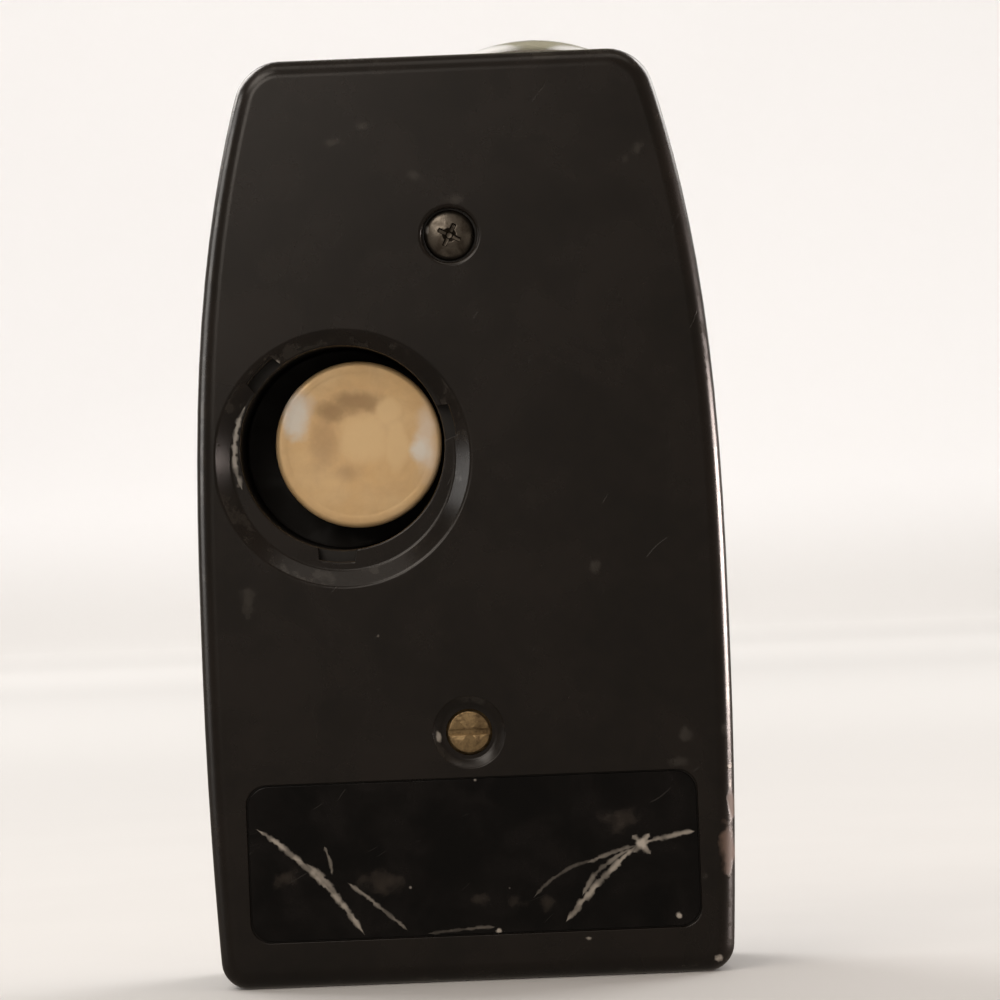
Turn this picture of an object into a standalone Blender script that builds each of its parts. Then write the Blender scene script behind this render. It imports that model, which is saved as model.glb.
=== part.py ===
"""A pocket exposure meter with a light cell, a needle movement and a calculator dial.

It stands on its lower end. X is to the right as seen from behind, +Y is the dial side, Z runs up the meter.
All sizes are in metres.
"""

import math

import bmesh
import bpy
from mathutils import Matrix, Vector

# Case
BODY_HEIGHT = 0.0860
BODY_THICKNESS = 0.0220
WIDEST_HALF_WIDTH = 0.02455
WIDEST_HEIGHT = 0.0290
BASE_DRAW_IN = 0.00085
TOP_DRAW_IN = 0.00615
BASE_CORNER_RADIUS = 0.0028
TOP_CORNER_RADIUS = 0.0036
SMALLEST_CORNER_RADIUS = 0.0006
EDGE_RADIUS = 0.0017
WALL = 0.0014
FRONT_DRAFT = 0.0013
COVER_DEPTH = 0.0050

# Clearances shared by all the pieces
SEAT_GAP = 0.0002
RUN_GAP = 0.0002
CUT_OVERRUN = 0.0010

# Counts of straight steps in round shapes
ROUND_STEPS = 32
SMALL_ROUND_STEPS = 16
TINY_ROUND_STEPS = 10
SIDE_STEPS = 12
CORNER_STEPS = 4
EDGE_STEPS = 3

BACK_Y = -BODY_THICKNESS / 2
FRONT_Y = BODY_THICKNESS / 2
PARTING_Y = BACK_Y + COVER_DEPTH
COVER_INSIDE_Y = BACK_Y + WALL
CASE_INSIDE_Y = FRONT_Y - WALL

# Cover screw
SCREW_WELL_SPACING = 0.0193
SCREW_HEAD_RADIUS = 0.00235
SCREW_HEAD_RISE = 0.0008
SCREW_SHANK_RADIUS = 0.00125
SCREW_GRIP = 0.0040
SCREW_BOSS_WALL = 0.0013
SCREW_SINK = 0.0011
CROSS_WIDTH = 0.0007
CROSS_REACH = 0.0014
CROSS_DEPTH = 0.0006

# Battery chamber in the back cover
WELL_PLAY = 0.0017
WELL_SIDE_MARGIN = 0.00205
WELL_YOKE_GAP = 0.00055
WELL_WALL = 0.0013
WELL_FLOOR = 0.0010
RECESS_DROP = 0.0010
RECESS_LEDGE = 0.0023
RECESS_SLOPE = 0.0011
RECESS_DEPTH = 0.0013
RECESS_FLOOR = 0.0014
RECESS_PAD_WALL = 0.0010
NOTCH_WIDTH = 0.0032
NOTCH_DEPTH = 0.0011
NOTCH_ANGLES = (135.0, 265.0, 12.0)

# Button cell
BATTERY_RADIUS = 0.0078
BATTERY_HEIGHT = 0.0061
BATTERY_CAN_SHARE = 0.72
BATTERY_EDGE = 0.0008
BATTERY_CAP_RADIUS = 0.0061
BATTERY_SEAL_WIDTH = 0.0008
BATTERY_SIDE_GAP = 0.0003
BATTERY_SHIFT_Z = 0.0003
CONTACT_HEIGHT = 0.0024
CONTACT_WIRE_RADIUS = 0.00030
CONTACT_BASE_RADIUS = 0.0052
CONTACT_TIP_RADIUS = 0.0022
CONTACT_TURNS = 3
CONTACT_POINTS_PER_TURN = 12

# Zero adjuster and its lever
ZERO_LABEL_GAP = 0.0042
ZERO_HEAD_RADIUS = 0.00195
ZERO_FLANGE_RADIUS = 0.0027
ZERO_FLANGE_THICKNESS = 0.0006
ZERO_DISH_RADIUS = 0.0033
ZERO_DISH_SLOPE = 0.0007
ZERO_DISH_DEPTH = 0.0006
ZERO_HEAD_SINK = 0.0005
ZERO_SLOT_WIDTH = 0.0006
ZERO_SLOT_DEPTH = 0.0005
ZERO_PIN_RADIUS = 0.00045
ZERO_PIN_OFFSET = 0.0009
ZERO_LEVER_REACH = 0.0080
ZERO_LEVER_THICKNESS = 0.0006
ZERO_LEVER_HUB_RADIUS = 0.0029
ZERO_LEVER_ARM_WIDTH = 0.0026
FORK_LENGTH = 0.0028
FORK_PRONG = 0.0008
FORK_CLEARANCE = 0.00012
HAIRSPRING_STUD_RADIUS = 0.0005
LEVER_ROOM = 0.0026

# Label field
LABEL_SIDE_MARGIN = 0.0028
LABEL_HEIGHT = 0.0146
LABEL_BASE_MARGIN = 0.0043
LABEL_CORNER_RADIUS = 0.0019
LABEL_SINK = 0.00055
LABEL_THICKNESS = 0.00030
LABEL_CLEARANCE = 0.00012

# Movement
YOKE_RADIUS = 0.0095
YOKE_WALL = 0.0019
BRIDGE_THICKNESS = 0.0012
BRIDGE_WIDTH = 0.0040
BRIDGE_LUG_GAP = 0.0027
BRIDGE_LUG_RADIUS = 0.0021
MOVEMENT_SCREW_RADIUS = 0.0007
MOVEMENT_SCREW_HEAD_RADIUS = 0.0014
MOVEMENT_SCREW_HEAD_HEIGHT = 0.0008
POINTER_ROOM = 0.0030
COIL_THICKNESS = 0.0010
COIL_WIDTH = 0.0034
COIL_GAP = 0.0004
COIL_END_ROOM = 0.0010
PIVOT_RADIUS = 0.0003
PIVOT_COLLAR_RADIUS = 0.0008
JEWEL_SCREW_RADIUS = 0.0010
CORE_ARM_WIDTH = 0.0022
HAIRSPRING_WIRE_RADIUS = 0.00012
HAIRSPRING_TURNS = 3
HAIRSPRING_POINTS_PER_TURN = 16
HAIRSPRING_REACH = 0.0045

# Pointer
POINTER_RADIUS = 0.00022
POINTER_HUB_WALL = 0.0005
POINTER_SIDE_MARGIN = 0.00138
POINTER_TIP_MARGIN = 0.0035
POINTER_TAIL = 0.0052
POINTER_WEIGHT_RADIUS = 0.0006
POINTER_STAND_OFF = 0.0017

# Scale window and the plate behind it
WINDOW_TOP_MARGIN = 0.0120
WINDOW_CONTROL_RISE = 0.0044
WINDOW_SIDE_MARGIN = 0.00572
WINDOW_CONTROL_MARGIN = 0.0031
WINDOW_CORNER_RADIUS = 0.0020
WINDOW_FLANGE = 0.0012
WINDOW_FLANGE_THICKNESS = 0.0006
WINDOW_RISE = 0.0004
SCALE_THICKNESS = 0.0005

# Chassis plate
CHASSIS_THICKNESS = 0.0012
CHASSIS_FRONT_ROOM = 0.0036
CHASSIS_CELL_GAP = 0.0015
CHASSIS_LUG_GAP = 0.0009
CHASSIS_SIDE_CLEARANCE = 0.0006
CHASSIS_CORNER_RADIUS = 0.0020
CHASSIS_ARCH_CLEARANCE = 0.0010
CHASSIS_POST_RADIUS = 0.0016
CHASSIS_POST_INSET = 0.0022
CHASSIS_UPPER_POST_DROP = 0.0120
CHASSIS_LOWER_POST_RISE = 0.0025

# Light cell on the upper end
CELL_X = 0.0082
CELL_Y = 0.0020
BEZEL_RADIUS = 0.0070
BEZEL_RISE = 0.0020
BEZEL_RIM = 0.00015
BEZEL_EDGE = 0.0002
LENS_RADIUS = 0.0028
LENS_DEPTH = 0.0022
BEZEL_NECK_RADIUS = 0.0044
CELL_HOLDER_RADIUS = 0.0053
CELL_HOLDER_DEPTH = 0.0062
CELL_HOLDER_WALL = 0.0008
CELL_RADIUS = 0.0038
CELL_THICKNESS = 0.0018

# Circuit board
BOARD_WELL_GAP = 0.0032
BOARD_SIDE_MARGIN = 0.0005
BOARD_HEIGHT = 0.0190
BOARD_THICKNESS = 0.0012
BOARD_STAND_OFF = 0.0014
BOARD_CORNER_RADIUS = 0.0008
BOARD_POST_RADIUS = 0.0011
RESISTOR_RADIUS = 0.0009
RESISTOR_LENGTH = 0.0062
RESISTOR_PITCH = 0.0034
RESISTOR_COUNT = 3
TRIMMER_GAP = 0.0008
TRIMMER_RADIUS = 0.0026
TRIMMER_HEIGHT = 0.0020

# Calculator dial
DIAL_BASE_MARGIN = 0.0070
DIAL_SIDE_MARGIN = 0.00495
DIAL_PLATE_MARGIN = 0.0012
DIAL_PLATE_THICKNESS = 0.0006
RING_HEIGHT = 0.0027
RING_FLOOR = 0.0009
RING_RIM_WIDTH = 0.0050
RING_FLUTES = 48
RING_FLUTE_DEPTH = 0.0005
SPEED_DISC_THICKNESS = 0.0011
SPEED_GRIP_WIDTH = 0.0030
SPEED_GRIP_HEIGHT = 0.0016
SPEED_GRIP_MARGIN = 0.0016
SPEED_WINDOW_WIDTH = 0.0040
SPEED_WINDOW_HEIGHT = 0.0022
SPINDLE_RADIUS = 0.0016
SPINDLE_HEAD_RADIUS = 0.0030
SPINDLE_HEAD_HEIGHT = 0.0008
SPINDLE_BOSS_RADIUS = 0.0034
SPINDLE_BOSS_HEIGHT = 0.0008
WASHER_RADIUS = 0.0045
WASHER_THICKNESS = 0.00025

# Face plate round the window
FACE_PLATE_THICKNESS = 0.0005
FACE_PLATE_EDGE_MARGIN = 0.0005
FACE_PLATE_BELOW_CONTROLS = 0.0036
FACE_PLATE_CORNER_RADIUS = 0.0016
FACE_PLATE_DIAL_GAP = 0.0009

# Button and slide switch beside the dial
CONTROL_SIDE_MARGIN = 0.00795
CONTROL_DIAL_GAP = 0.0058
BUTTON_RADIUS = 0.0022
BUTTON_RISE = 0.0015
BUTTON_TRAVEL = 0.0009
BUTTON_COLLAR = 0.0007
BUTTON_COLLAR_THICKNESS = 0.0007
SLIDER_TRAVEL = 0.0024
SLIDER_STEM_WIDTH = 0.0014
SLIDER_STEM_LENGTH = 0.0020
SLIDER_CAP_WIDTH = 0.0034
SLIDER_CAP_HEIGHT = 0.0013
SLIDER_PLATE_THICKNESS = 0.0007
SLIDER_OVERLAP = 0.0008
BLADE_THICKNESS = 0.0003
BLADE_WIDTH = 0.0028
BLADE_LENGTH = 0.0110

# Tongues that hold the cover's lower edge
TONGUE_X = 0.0120
TONGUE_WIDTH = 0.0060
TONGUE_THICKNESS = 0.0010
TONGUE_REACH = 0.0026


def side_half_width(height):
    """Half the meter's width at a height: widest low down, drawn in towards the cell end."""
    if height >= WIDEST_HEIGHT:
        rise = (height - WIDEST_HEIGHT) / (BODY_HEIGHT - WIDEST_HEIGHT)
        return WIDEST_HALF_WIDTH - TOP_DRAW_IN * rise ** 3
    fall = (WIDEST_HEIGHT - height) / WIDEST_HEIGHT
    return WIDEST_HALF_WIDTH - BASE_DRAW_IN * fall ** 2


def leg_of(slope, across):
    """How far apart in height two centres are, from their distance and how far apart they are across."""
    return math.sqrt(slope ** 2 - across ** 2)


# Heights, from the lower end upwards
ZERO_HEIGHT = LABEL_BASE_MARGIN + LABEL_HEIGHT + ZERO_LABEL_GAP
MOVEMENT_HEIGHT = ZERO_HEIGHT + ZERO_PIN_OFFSET + ZERO_LEVER_REACH
WELL_RADIUS = BATTERY_RADIUS + WELL_PLAY
WELL_OUTER_RADIUS = WELL_RADIUS + WELL_WALL
RECESS_RADIUS = WELL_RADIUS + RECESS_LEDGE
WELL_X = RECESS_RADIUS + WELL_SIDE_MARGIN - WIDEST_HALF_WIDTH
WELL_HEIGHT = MOVEMENT_HEIGHT + leg_of(YOKE_RADIUS + WELL_OUTER_RADIUS + WELL_YOKE_GAP, WELL_X)
SCREW_HEIGHT = WELL_HEIGHT + SCREW_WELL_SPACING
CHASSIS_BASE_HEIGHT = MOVEMENT_HEIGHT + BRIDGE_LUG_RADIUS + CHASSIS_LUG_GAP
CHASSIS_TOP = BODY_HEIGHT - WALL - 2 * SEAT_GAP - CELL_HOLDER_DEPTH - CHASSIS_CELL_GAP
BOARD_Z = (CHASSIS_BASE_HEIGHT + CHASSIS_TOP) / 2
WINDOW_TOP = BODY_HEIGHT - WINDOW_TOP_MARGIN
DIAL_RADIUS = WIDEST_HALF_WIDTH - DIAL_SIDE_MARGIN
DIAL_PLATE_RADIUS = DIAL_RADIUS + DIAL_PLATE_MARGIN
DIAL_HEIGHT = DIAL_BASE_MARGIN + DIAL_PLATE_RADIUS
CONTROL_X = WIDEST_HALF_WIDTH - CONTROL_SIDE_MARGIN
CONTROL_HEIGHT = DIAL_HEIGHT + leg_of(DIAL_PLATE_RADIUS + CONTROL_DIAL_GAP, CONTROL_X)
FACE_PLATE_BASE_HEIGHT = CONTROL_HEIGHT - FACE_PLATE_BELOW_CONTROLS
WINDOW_BASE = CONTROL_HEIGHT + WINDOW_CONTROL_RISE

# Sizes across
BRIDGE_LUG_X = YOKE_RADIUS + BRIDGE_LUG_GAP
WINDOW_TOP_HALF_WIDTH = side_half_width(WINDOW_TOP) - WINDOW_SIDE_MARGIN
WINDOW_BASE_HALF_WIDTH = CONTROL_X - WINDOW_CONTROL_MARGIN
BOARD_LEFT = WELL_X + WELL_OUTER_RADIUS + BOARD_WELL_GAP
BOARD_RIGHT = side_half_width(BOARD_Z + BOARD_HEIGHT / 2) - FRONT_DRAFT - WALL - BOARD_SIDE_MARGIN
BOARD_X = (BOARD_LEFT + BOARD_RIGHT) / 2
BOARD_WIDTH = BOARD_RIGHT - BOARD_LEFT
BEZEL_DOME_RISE = BEZEL_RISE - BEZEL_RIM - BEZEL_EDGE
BEZEL_DOME_RADIUS = (BEZEL_RADIUS ** 2 + BEZEL_DOME_RISE ** 2) / BEZEL_DOME_RISE / 2

# Depths, from the back to the front
CHASSIS_FRONT_Y = CASE_INSIDE_Y - CHASSIS_FRONT_ROOM
CHASSIS_BACK_Y = CHASSIS_FRONT_Y - CHASSIS_THICKNESS
SCALE_BACK_Y = CHASSIS_FRONT_Y + SEAT_GAP
SCALE_FRONT_Y = SCALE_BACK_Y + SCALE_THICKNESS
POINTER_Y = SCALE_FRONT_Y + POINTER_STAND_OFF - SCALE_THICKNESS
FRONT_BRIDGE_Y = CASE_INSIDE_Y - POINTER_ROOM - BRIDGE_THICKNESS
REAR_BRIDGE_Y = COVER_INSIDE_Y + LEVER_ROOM
YOKE_FRONT_Y = FRONT_BRIDGE_Y - SEAT_GAP
YOKE_BACK_Y = REAR_BRIDGE_Y + BRIDGE_THICKNESS + SEAT_GAP
COIL_FRONT_Y = YOKE_FRONT_Y - COIL_END_ROOM
COIL_BACK_Y = YOKE_BACK_Y + COIL_END_ROOM
RECESS_FLOOR_Y = BACK_Y + RECESS_DEPTH
PAD_INSIDE_Y = RECESS_FLOOR_Y + RECESS_FLOOR
WELL_MOUTH_Y = PAD_INSIDE_Y + SEAT_GAP
WELL_BOTTOM_Y = CHASSIS_BACK_Y - SEAT_GAP
WELL_SEAT_Y = WELL_BOTTOM_Y - WELL_FLOOR
BATTERY_INNER_Y = WELL_SEAT_Y - CONTACT_HEIGHT - SEAT_GAP
BATTERY_OUTER_Y = BATTERY_INNER_Y - BATTERY_HEIGHT
BATTERY_X = WELL_X + WELL_PLAY - BATTERY_SIDE_GAP
BATTERY_Z = WELL_HEIGHT + BATTERY_SHIFT_Z
LEVER_Y = REAR_BRIDGE_Y - SEAT_GAP - ZERO_LEVER_THICKNESS
DIAL_PLATE_Y = FRONT_Y + SEAT_GAP
RING_Y = DIAL_PLATE_Y + DIAL_PLATE_THICKNESS + WASHER_THICKNESS + SEAT_GAP + SEAT_GAP
SPEED_DISC_Y = RING_Y + RING_FLOOR + RUN_GAP

# The pointer's reach, and the angle that it swings to either side of upright
POINTER_REACH = WINDOW_TOP - POINTER_TIP_MARGIN - MOVEMENT_HEIGHT
POINTER_LEAN = math.asin((WINDOW_TOP_HALF_WIDTH - POINTER_SIDE_MARGIN) / POINTER_REACH)

BACKWARD = (math.pi / 2, 0, 0)
FORWARD = (-math.pi / 2, 0, 0)
UPWARD = (0, 0, 0)

parts = None
cutters = None
materials = {}


def clear_scene():
    """Empties the file that Blender starts with."""
    for old in list(bpy.data.objects):
        bpy.data.objects.remove(old, do_unlink=True)


def make_collection(name):
    """A new collection in the scene."""
    collection = bpy.data.collections.new(name)
    bpy.context.scene.collection.children.link(collection)
    return collection


def make_material(name, colour, roughness, metallic):
    """A plain Principled material with the colour that the real finish has."""
    material = bpy.data.materials.new(name)
    material.use_nodes = True
    shader = material.node_tree.nodes["Principled BSDF"]
    shader.inputs["Base Color"].default_value = (*colour, 1)
    shader.inputs["Roughness"].default_value = roughness
    shader.inputs["Metallic"].default_value = metallic
    materials[name] = material


def make_materials():
    """Every finish on the meter."""
    make_material("black_case", (0.012, 0.010, 0.009), 0.35, 0)
    make_material("label_black", (0.006, 0.005, 0.005), 0.20, 0)
    make_material("dark_steel", (0.10, 0.09, 0.08), 0.35, 1)
    make_material("brass", (0.50, 0.36, 0.14), 0.35, 1)
    make_material("chrome", (0.75, 0.75, 0.74), 0.12, 1)
    make_material("satin_aluminium", (0.62, 0.62, 0.60), 0.35, 1)
    make_material("clear_plastic", (0.85, 0.87, 0.86), 0.08, 0)
    make_material("scale_white", (0.75, 0.73, 0.66), 0.55, 0)
    make_material("inner_black", (0.02, 0.02, 0.02), 0.6, 0)
    make_material("battery_steel", (0.60, 0.45, 0.28), 0.35, 1)
    make_material("board_brown", (0.20, 0.10, 0.04), 0.55, 0)
    make_material("copper", (0.55, 0.22, 0.10), 0.4, 1)
    make_material("iron", (0.30, 0.30, 0.30), 0.5, 1)
    make_material("pointer_red", (0.55, 0.05, 0.03), 0.5, 0)
    make_material("lens_glass", (0.55, 0.60, 0.52), 0.1, 0)
    make_material("cell_red", (0.35, 0.06, 0.03), 0.5, 0)


def add_piece(name, mesh, material):
    """Puts a mesh in the scene as one named sub-part."""
    piece = bpy.data.objects.new(name, mesh)
    mesh.materials.append(materials[material])
    parts.objects.link(piece)
    return piece


def add_tool(name, mesh):
    """Puts a mesh in the scene as the tool of a Boolean, not as a sub-part."""
    tool = bpy.data.objects.new(name, mesh)
    cutters.objects.link(tool)
    tool.hide_render = True
    tool.display_type = "WIRE"
    return tool


def add_either(name, mesh, material):
    """A sub-part where a material is named, and a tool where none is."""
    if material is None:
        return add_tool(name, mesh)
    return add_piece(name, mesh, material)


def combine(piece, tool, operation):
    """Cuts the tool out of the piece, or joins it on."""
    modifier = piece.modifiers.new(tool.name, "BOOLEAN")
    modifier.operation = operation
    modifier.object = tool
    modifier.solver = "EXACT"


def mesh_from(name, build):
    """A mesh filled by a function that gets an empty bmesh."""
    mesh = bpy.data.meshes.new(name)
    body = bmesh.new()
    build(body)
    bmesh.ops.recalc_face_normals(body, faces=body.faces[:])
    body.to_mesh(mesh)
    body.free()
    mesh.shade_smooth()
    mesh.set_sharp_from_angle(angle=math.radians(35))
    return mesh


def circle_loop(x, z, radius, steps=ROUND_STEPS):
    """A round outline in the X Z plane."""
    turns = [2 * math.pi * step / steps for step in range(steps)]
    return [(x + radius * math.cos(turn), z + radius * math.sin(turn)) for turn in turns]


def arc(x, z, radius, start, end, steps):
    """Points on an arc, with its angles in degrees."""
    points = []
    for step in range(steps + 1):
        angle = math.radians(start + (end - start) * step / steps)
        points.append((x + radius * math.cos(angle), z + radius * math.sin(angle)))
    return points


def rounded_loop(corners, radius, steps=CORNER_STEPS):
    """An outline through the corners, each one turned into an arc."""
    points = []
    for index, corner in enumerate(corners):
        here = Vector(corner)
        back = (Vector(corners[index - 1]) - here).normalized()
        ahead = (Vector(corners[(index + 1) % len(corners)]) - here).normalized()
        half_angle = back.angle(ahead) / 2
        centre = here + (back + ahead).normalized() * (radius / math.sin(half_angle))
        start = here + back * (radius / math.tan(half_angle)) - centre
        end = here + ahead * (radius / math.tan(half_angle)) - centre
        turn = start.angle_signed(end)
        for step in range(steps + 1):
            angle = -turn * step / steps
            spoke = Matrix.Rotation(angle, 2) @ start
            points.append((centre.x + spoke.x, centre.y + spoke.y))
    return points


def rectangle_loop(x, z, width, height, radius):
    """A rectangle with round corners."""
    right, top = x + width / 2, z + height / 2
    left, base = x - width / 2, z - height / 2
    return rounded_loop([(left, base), (right, base), (right, top), (left, top)], radius)


def side_lean(height):
    """The angle in degrees by which the side leans in at a height above the widest place."""
    span = BODY_HEIGHT - WIDEST_HEIGHT
    rise = (height - WIDEST_HEIGHT) / span
    slope = 3 * TOP_DRAW_IN / span * rise ** 2
    return math.degrees(math.atan(slope))


def body_loop(inset):
    """The meter's outline from behind, drawn in at the sides. Its two ends stay where they are."""
    base_radius = max(BASE_CORNER_RADIUS - inset, SMALLEST_CORNER_RADIUS)
    top_radius = max(TOP_CORNER_RADIUS - inset, SMALLEST_CORNER_RADIUS)
    top = BODY_HEIGHT
    lean = side_lean(top - top_radius)
    side_top = top - top_radius + top_radius * math.sin(math.radians(lean))
    base_x = side_half_width(base_radius) - inset - base_radius
    top_x = side_half_width(side_top) - inset - top_radius * math.cos(math.radians(lean))
    right = arc(base_x, base_radius, base_radius, -90, 0, CORNER_STEPS)
    for step in range(1, SIDE_STEPS):
        height = base_radius + (side_top - base_radius) * step / SIDE_STEPS
        right.append((side_half_width(height) - inset, height))
    right.extend(arc(top_x, top - top_radius, top_radius, lean, 90, CORNER_STEPS))
    left = [(-x, z) for x, z in reversed(right)]
    return right + left


def flat_solid(name, loops, low_y, high_y, material):
    """A flat outline, with any holes in it, between two depths."""
    curve = bpy.data.curves.new(name, "CURVE")
    curve.dimensions = "2D"
    curve.fill_mode = "BOTH"
    curve.extrude = (high_y - low_y) / 2
    for loop in loops:
        spline = curve.splines.new("POLY")
        spline.points.add(len(loop) - 1)
        for point, (x, z) in zip(spline.points, loop):
            point.co = (x, z, 0, 1)
        spline.use_cyclic_u = True
    guide = bpy.data.objects.new(name + "_outline", curve)
    guide.location = (0, (low_y + high_y) / 2, 0)
    guide.rotation_euler = BACKWARD
    return curve_to_mesh(name, guide, material)


def wire_solid(name, points, radius, material, resolution=2, cyclic=False):
    """A round wire along a list of points."""
    curve = bpy.data.curves.new(name, "CURVE")
    curve.dimensions = "3D"
    curve.bevel_depth = radius
    curve.bevel_resolution = resolution
    curve.use_fill_caps = True
    spline = curve.splines.new("POLY")
    spline.points.add(len(points) - 1)
    for point, place in zip(spline.points, points):
        point.co = (*place, 1)
    spline.use_cyclic_u = cyclic
    guide = bpy.data.objects.new(name + "_path", curve)
    return curve_to_mesh(name, guide, material)


def curve_to_mesh(name, guide, material):
    """Turns a curve into a closed mesh in its place and removes the curve."""
    cutters.objects.link(guide)
    bpy.context.view_layer.update()
    evaluated = guide.evaluated_get(bpy.context.evaluated_depsgraph_get())
    mesh = bpy.data.meshes.new_from_object(evaluated)
    mesh.name = name
    mesh.materials.clear()
    body = bmesh.new()
    body.from_mesh(mesh)
    bmesh.ops.remove_doubles(body, verts=body.verts[:], dist=0.000001)
    bmesh.ops.recalc_face_normals(body, faces=body.faces[:])
    body.to_mesh(mesh)
    body.free()
    mesh.shade_smooth()
    mesh.set_sharp_from_angle(angle=math.radians(35))
    solid = add_either(name, mesh, material)
    solid.matrix_world = guide.matrix_world.copy()
    bpy.data.objects.remove(guide, do_unlink=True)
    return solid


def turned_solid(name, profile, place, facing, material, steps=ROUND_STEPS, closed=False):
    """A turned shape. Its profile holds radius and height and runs down its outer side."""
    mesh = bpy.data.meshes.new(name)
    edges = [(index, index + 1) for index in range(len(profile) - 1)]
    if closed:
        edges.append((len(profile) - 1, 0))
    mesh.from_pydata([(radius, 0, height) for radius, height in profile], edges, [])
    solid = add_either(name, mesh, material)
    screw = solid.modifiers.new("turn", "SCREW")
    screw.steps = steps
    screw.render_steps = steps
    screw.use_merge_vertices = True
    screw.merge_threshold = 0.000001
    screw.use_smooth_shade = True
    solid.location = place
    solid.rotation_euler = facing
    return solid


def add_post(body, x, z, low_y, high_y, radius, steps):
    """A round post along Y in a bmesh."""
    turn = Matrix.Rotation(-math.pi / 2, 4, "X")
    move = Matrix.Translation((x, (low_y + high_y) / 2, z))
    bmesh.ops.create_cone(
        body,
        cap_ends=True,
        segments=steps,
        radius1=radius,
        radius2=radius,
        depth=high_y - low_y,
        matrix=move @ turn,
    )


def add_block(body, low, high):
    """A box between two corners in a bmesh."""
    low, high = Vector(low), Vector(high)
    size = Matrix.Diagonal((*(high - low), 1))
    bmesh.ops.create_cube(body, size=1, matrix=Matrix.Translation((low + high) / 2) @ size)


def posts_solid(name, posts, material, steps=SMALL_ROUND_STEPS):
    """Several posts as separate solids of one node or tool: x, z, lower y, upper y, radius."""
    def build(body):
        for x, z, low_y, high_y, radius in posts:
            add_post(body, x, z, low_y, high_y, radius, steps)
    return add_either(name, mesh_from(name, build), material)


def shell_solid(name, face_loop, lip_loop, face_y, lip_y, material):
    """A tray with a closed face, sloping sides, round edges and an even wall."""
    def build(body):
        face = body.faces.new([body.verts.new((x, face_y, z)) for x, z in face_loop])
        around = list(face.verts)
        bmesh.ops.extrude_edge_only(body, edges=face.edges[:])
        for vertex, (x, z) in zip(around, lip_loop):
            ends = [edge.other_vert(vertex) for edge in vertex.link_edges]
            lip = next(end for end in ends if end not in around)
            lip.co = (x, lip_y, z)
    tray = add_piece(name, mesh_from(name, build), material)
    bevel = tray.modifiers.new("round_edges", "BEVEL")
    bevel.width = EDGE_RADIUS
    bevel.segments = EDGE_STEPS
    bevel.limit_method = "ANGLE"
    bevel.angle_limit = math.radians(45)
    wall = tray.modifiers.new("wall", "SOLIDIFY")
    wall.thickness = WALL
    wall.offset = -1
    wall.use_even_offset = True
    return tray


def well_loop(radius):
    """The round mouth of the battery chamber."""
    return circle_loop(WELL_X, WELL_HEIGHT, radius)


def make_back_cover():
    """The rear shell, with the battery mouth, the screw seats and the sunk label field."""
    lip_y = PARTING_Y - SEAT_GAP / 2
    cover = shell_solid("back_cover", body_loop(0), body_loop(0), BACK_Y, lip_y, "black_case")
    pad_radius = RECESS_RADIUS + RECESS_PAD_WALL
    recess_z = WELL_HEIGHT - RECESS_DROP
    sink_back = BACK_Y + WALL / 2
    pads = [
        (0, SCREW_HEIGHT, sink_back, PARTING_Y, SCREW_HEAD_RADIUS + SCREW_BOSS_WALL),
        (WELL_X, recess_z, sink_back, PAD_INSIDE_Y, pad_radius),
    ]
    combine(cover, posts_solid("cover_pads", pads, None, ROUND_STEPS), "UNION")
    combine(cover, make_tongues(), "UNION")
    label_sink = flat_solid("label_sink", [label_loop(0)], BACK_Y - CUT_OVERRUN, BACK_Y + LABEL_SINK, None)
    combine(cover, label_sink, "DIFFERENCE")
    combine(cover, make_screw_cutter(), "DIFFERENCE")
    combine(cover, make_zero_cutter(), "DIFFERENCE")
    combine(cover, make_mouth_cutter(), "DIFFERENCE")
    combine(cover, make_recess_cutter(recess_z), "DIFFERENCE")


def make_tongues():
    """Two tongues on the cover's lower edge that slip inside the front case."""
    def build(body):
        for side in (-1, 1):
            middle = side * TONGUE_X
            low = (middle - TONGUE_WIDTH / 2, BACK_Y + WALL / 2, WALL + RUN_GAP)
            high = (middle + TONGUE_WIDTH / 2, PARTING_Y + TONGUE_REACH, WALL + RUN_GAP + TONGUE_THICKNESS)
            add_block(body, low, high)
    return add_tool("cover_tongues", mesh_from("cover_tongues", build))


def make_recess_cutter(recess_z):
    """The shallow round seat of the battery lid, with a sloping side."""
    profile = [
        (0, CUT_OVERRUN),
        (RECESS_RADIUS, CUT_OVERRUN),
        (RECESS_RADIUS, 0),
        (RECESS_RADIUS - RECESS_SLOPE / 3, -RECESS_DEPTH * 2 / 5),
        (RECESS_RADIUS - RECESS_SLOPE, -RECESS_DEPTH),
        (0, -RECESS_DEPTH),
    ]
    return turned_solid("recess_cut", profile, (WELL_X, BACK_Y, recess_z), BACKWARD, None, 48)


def make_mouth_cutter():
    """The round mouth with three notches for the lid's lugs, as one outline."""
    radius = WELL_RADIUS
    notch_radius = radius + NOTCH_DEPTH
    half_notch = math.degrees(math.asin(NOTCH_WIDTH / 2 / radius))
    half_outer = math.degrees(math.asin(NOTCH_WIDTH / 2 / notch_radius))
    angles = sorted(NOTCH_ANGLES)
    loop = []
    for index, angle in enumerate(angles):
        after = angles[(index + 1) % len(angles)]
        if after <= angle:
            after += 360
        loop.extend(arc(WELL_X, WELL_HEIGHT, notch_radius, angle - half_outer, angle + half_outer, 2))
        loop.extend(arc(WELL_X, WELL_HEIGHT, radius, angle + half_notch, after - half_notch, 14))
    return flat_solid("mouth_cut", [loop], BACK_Y - CUT_OVERRUN, PAD_INSIDE_Y + CUT_OVERRUN, None)


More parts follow.
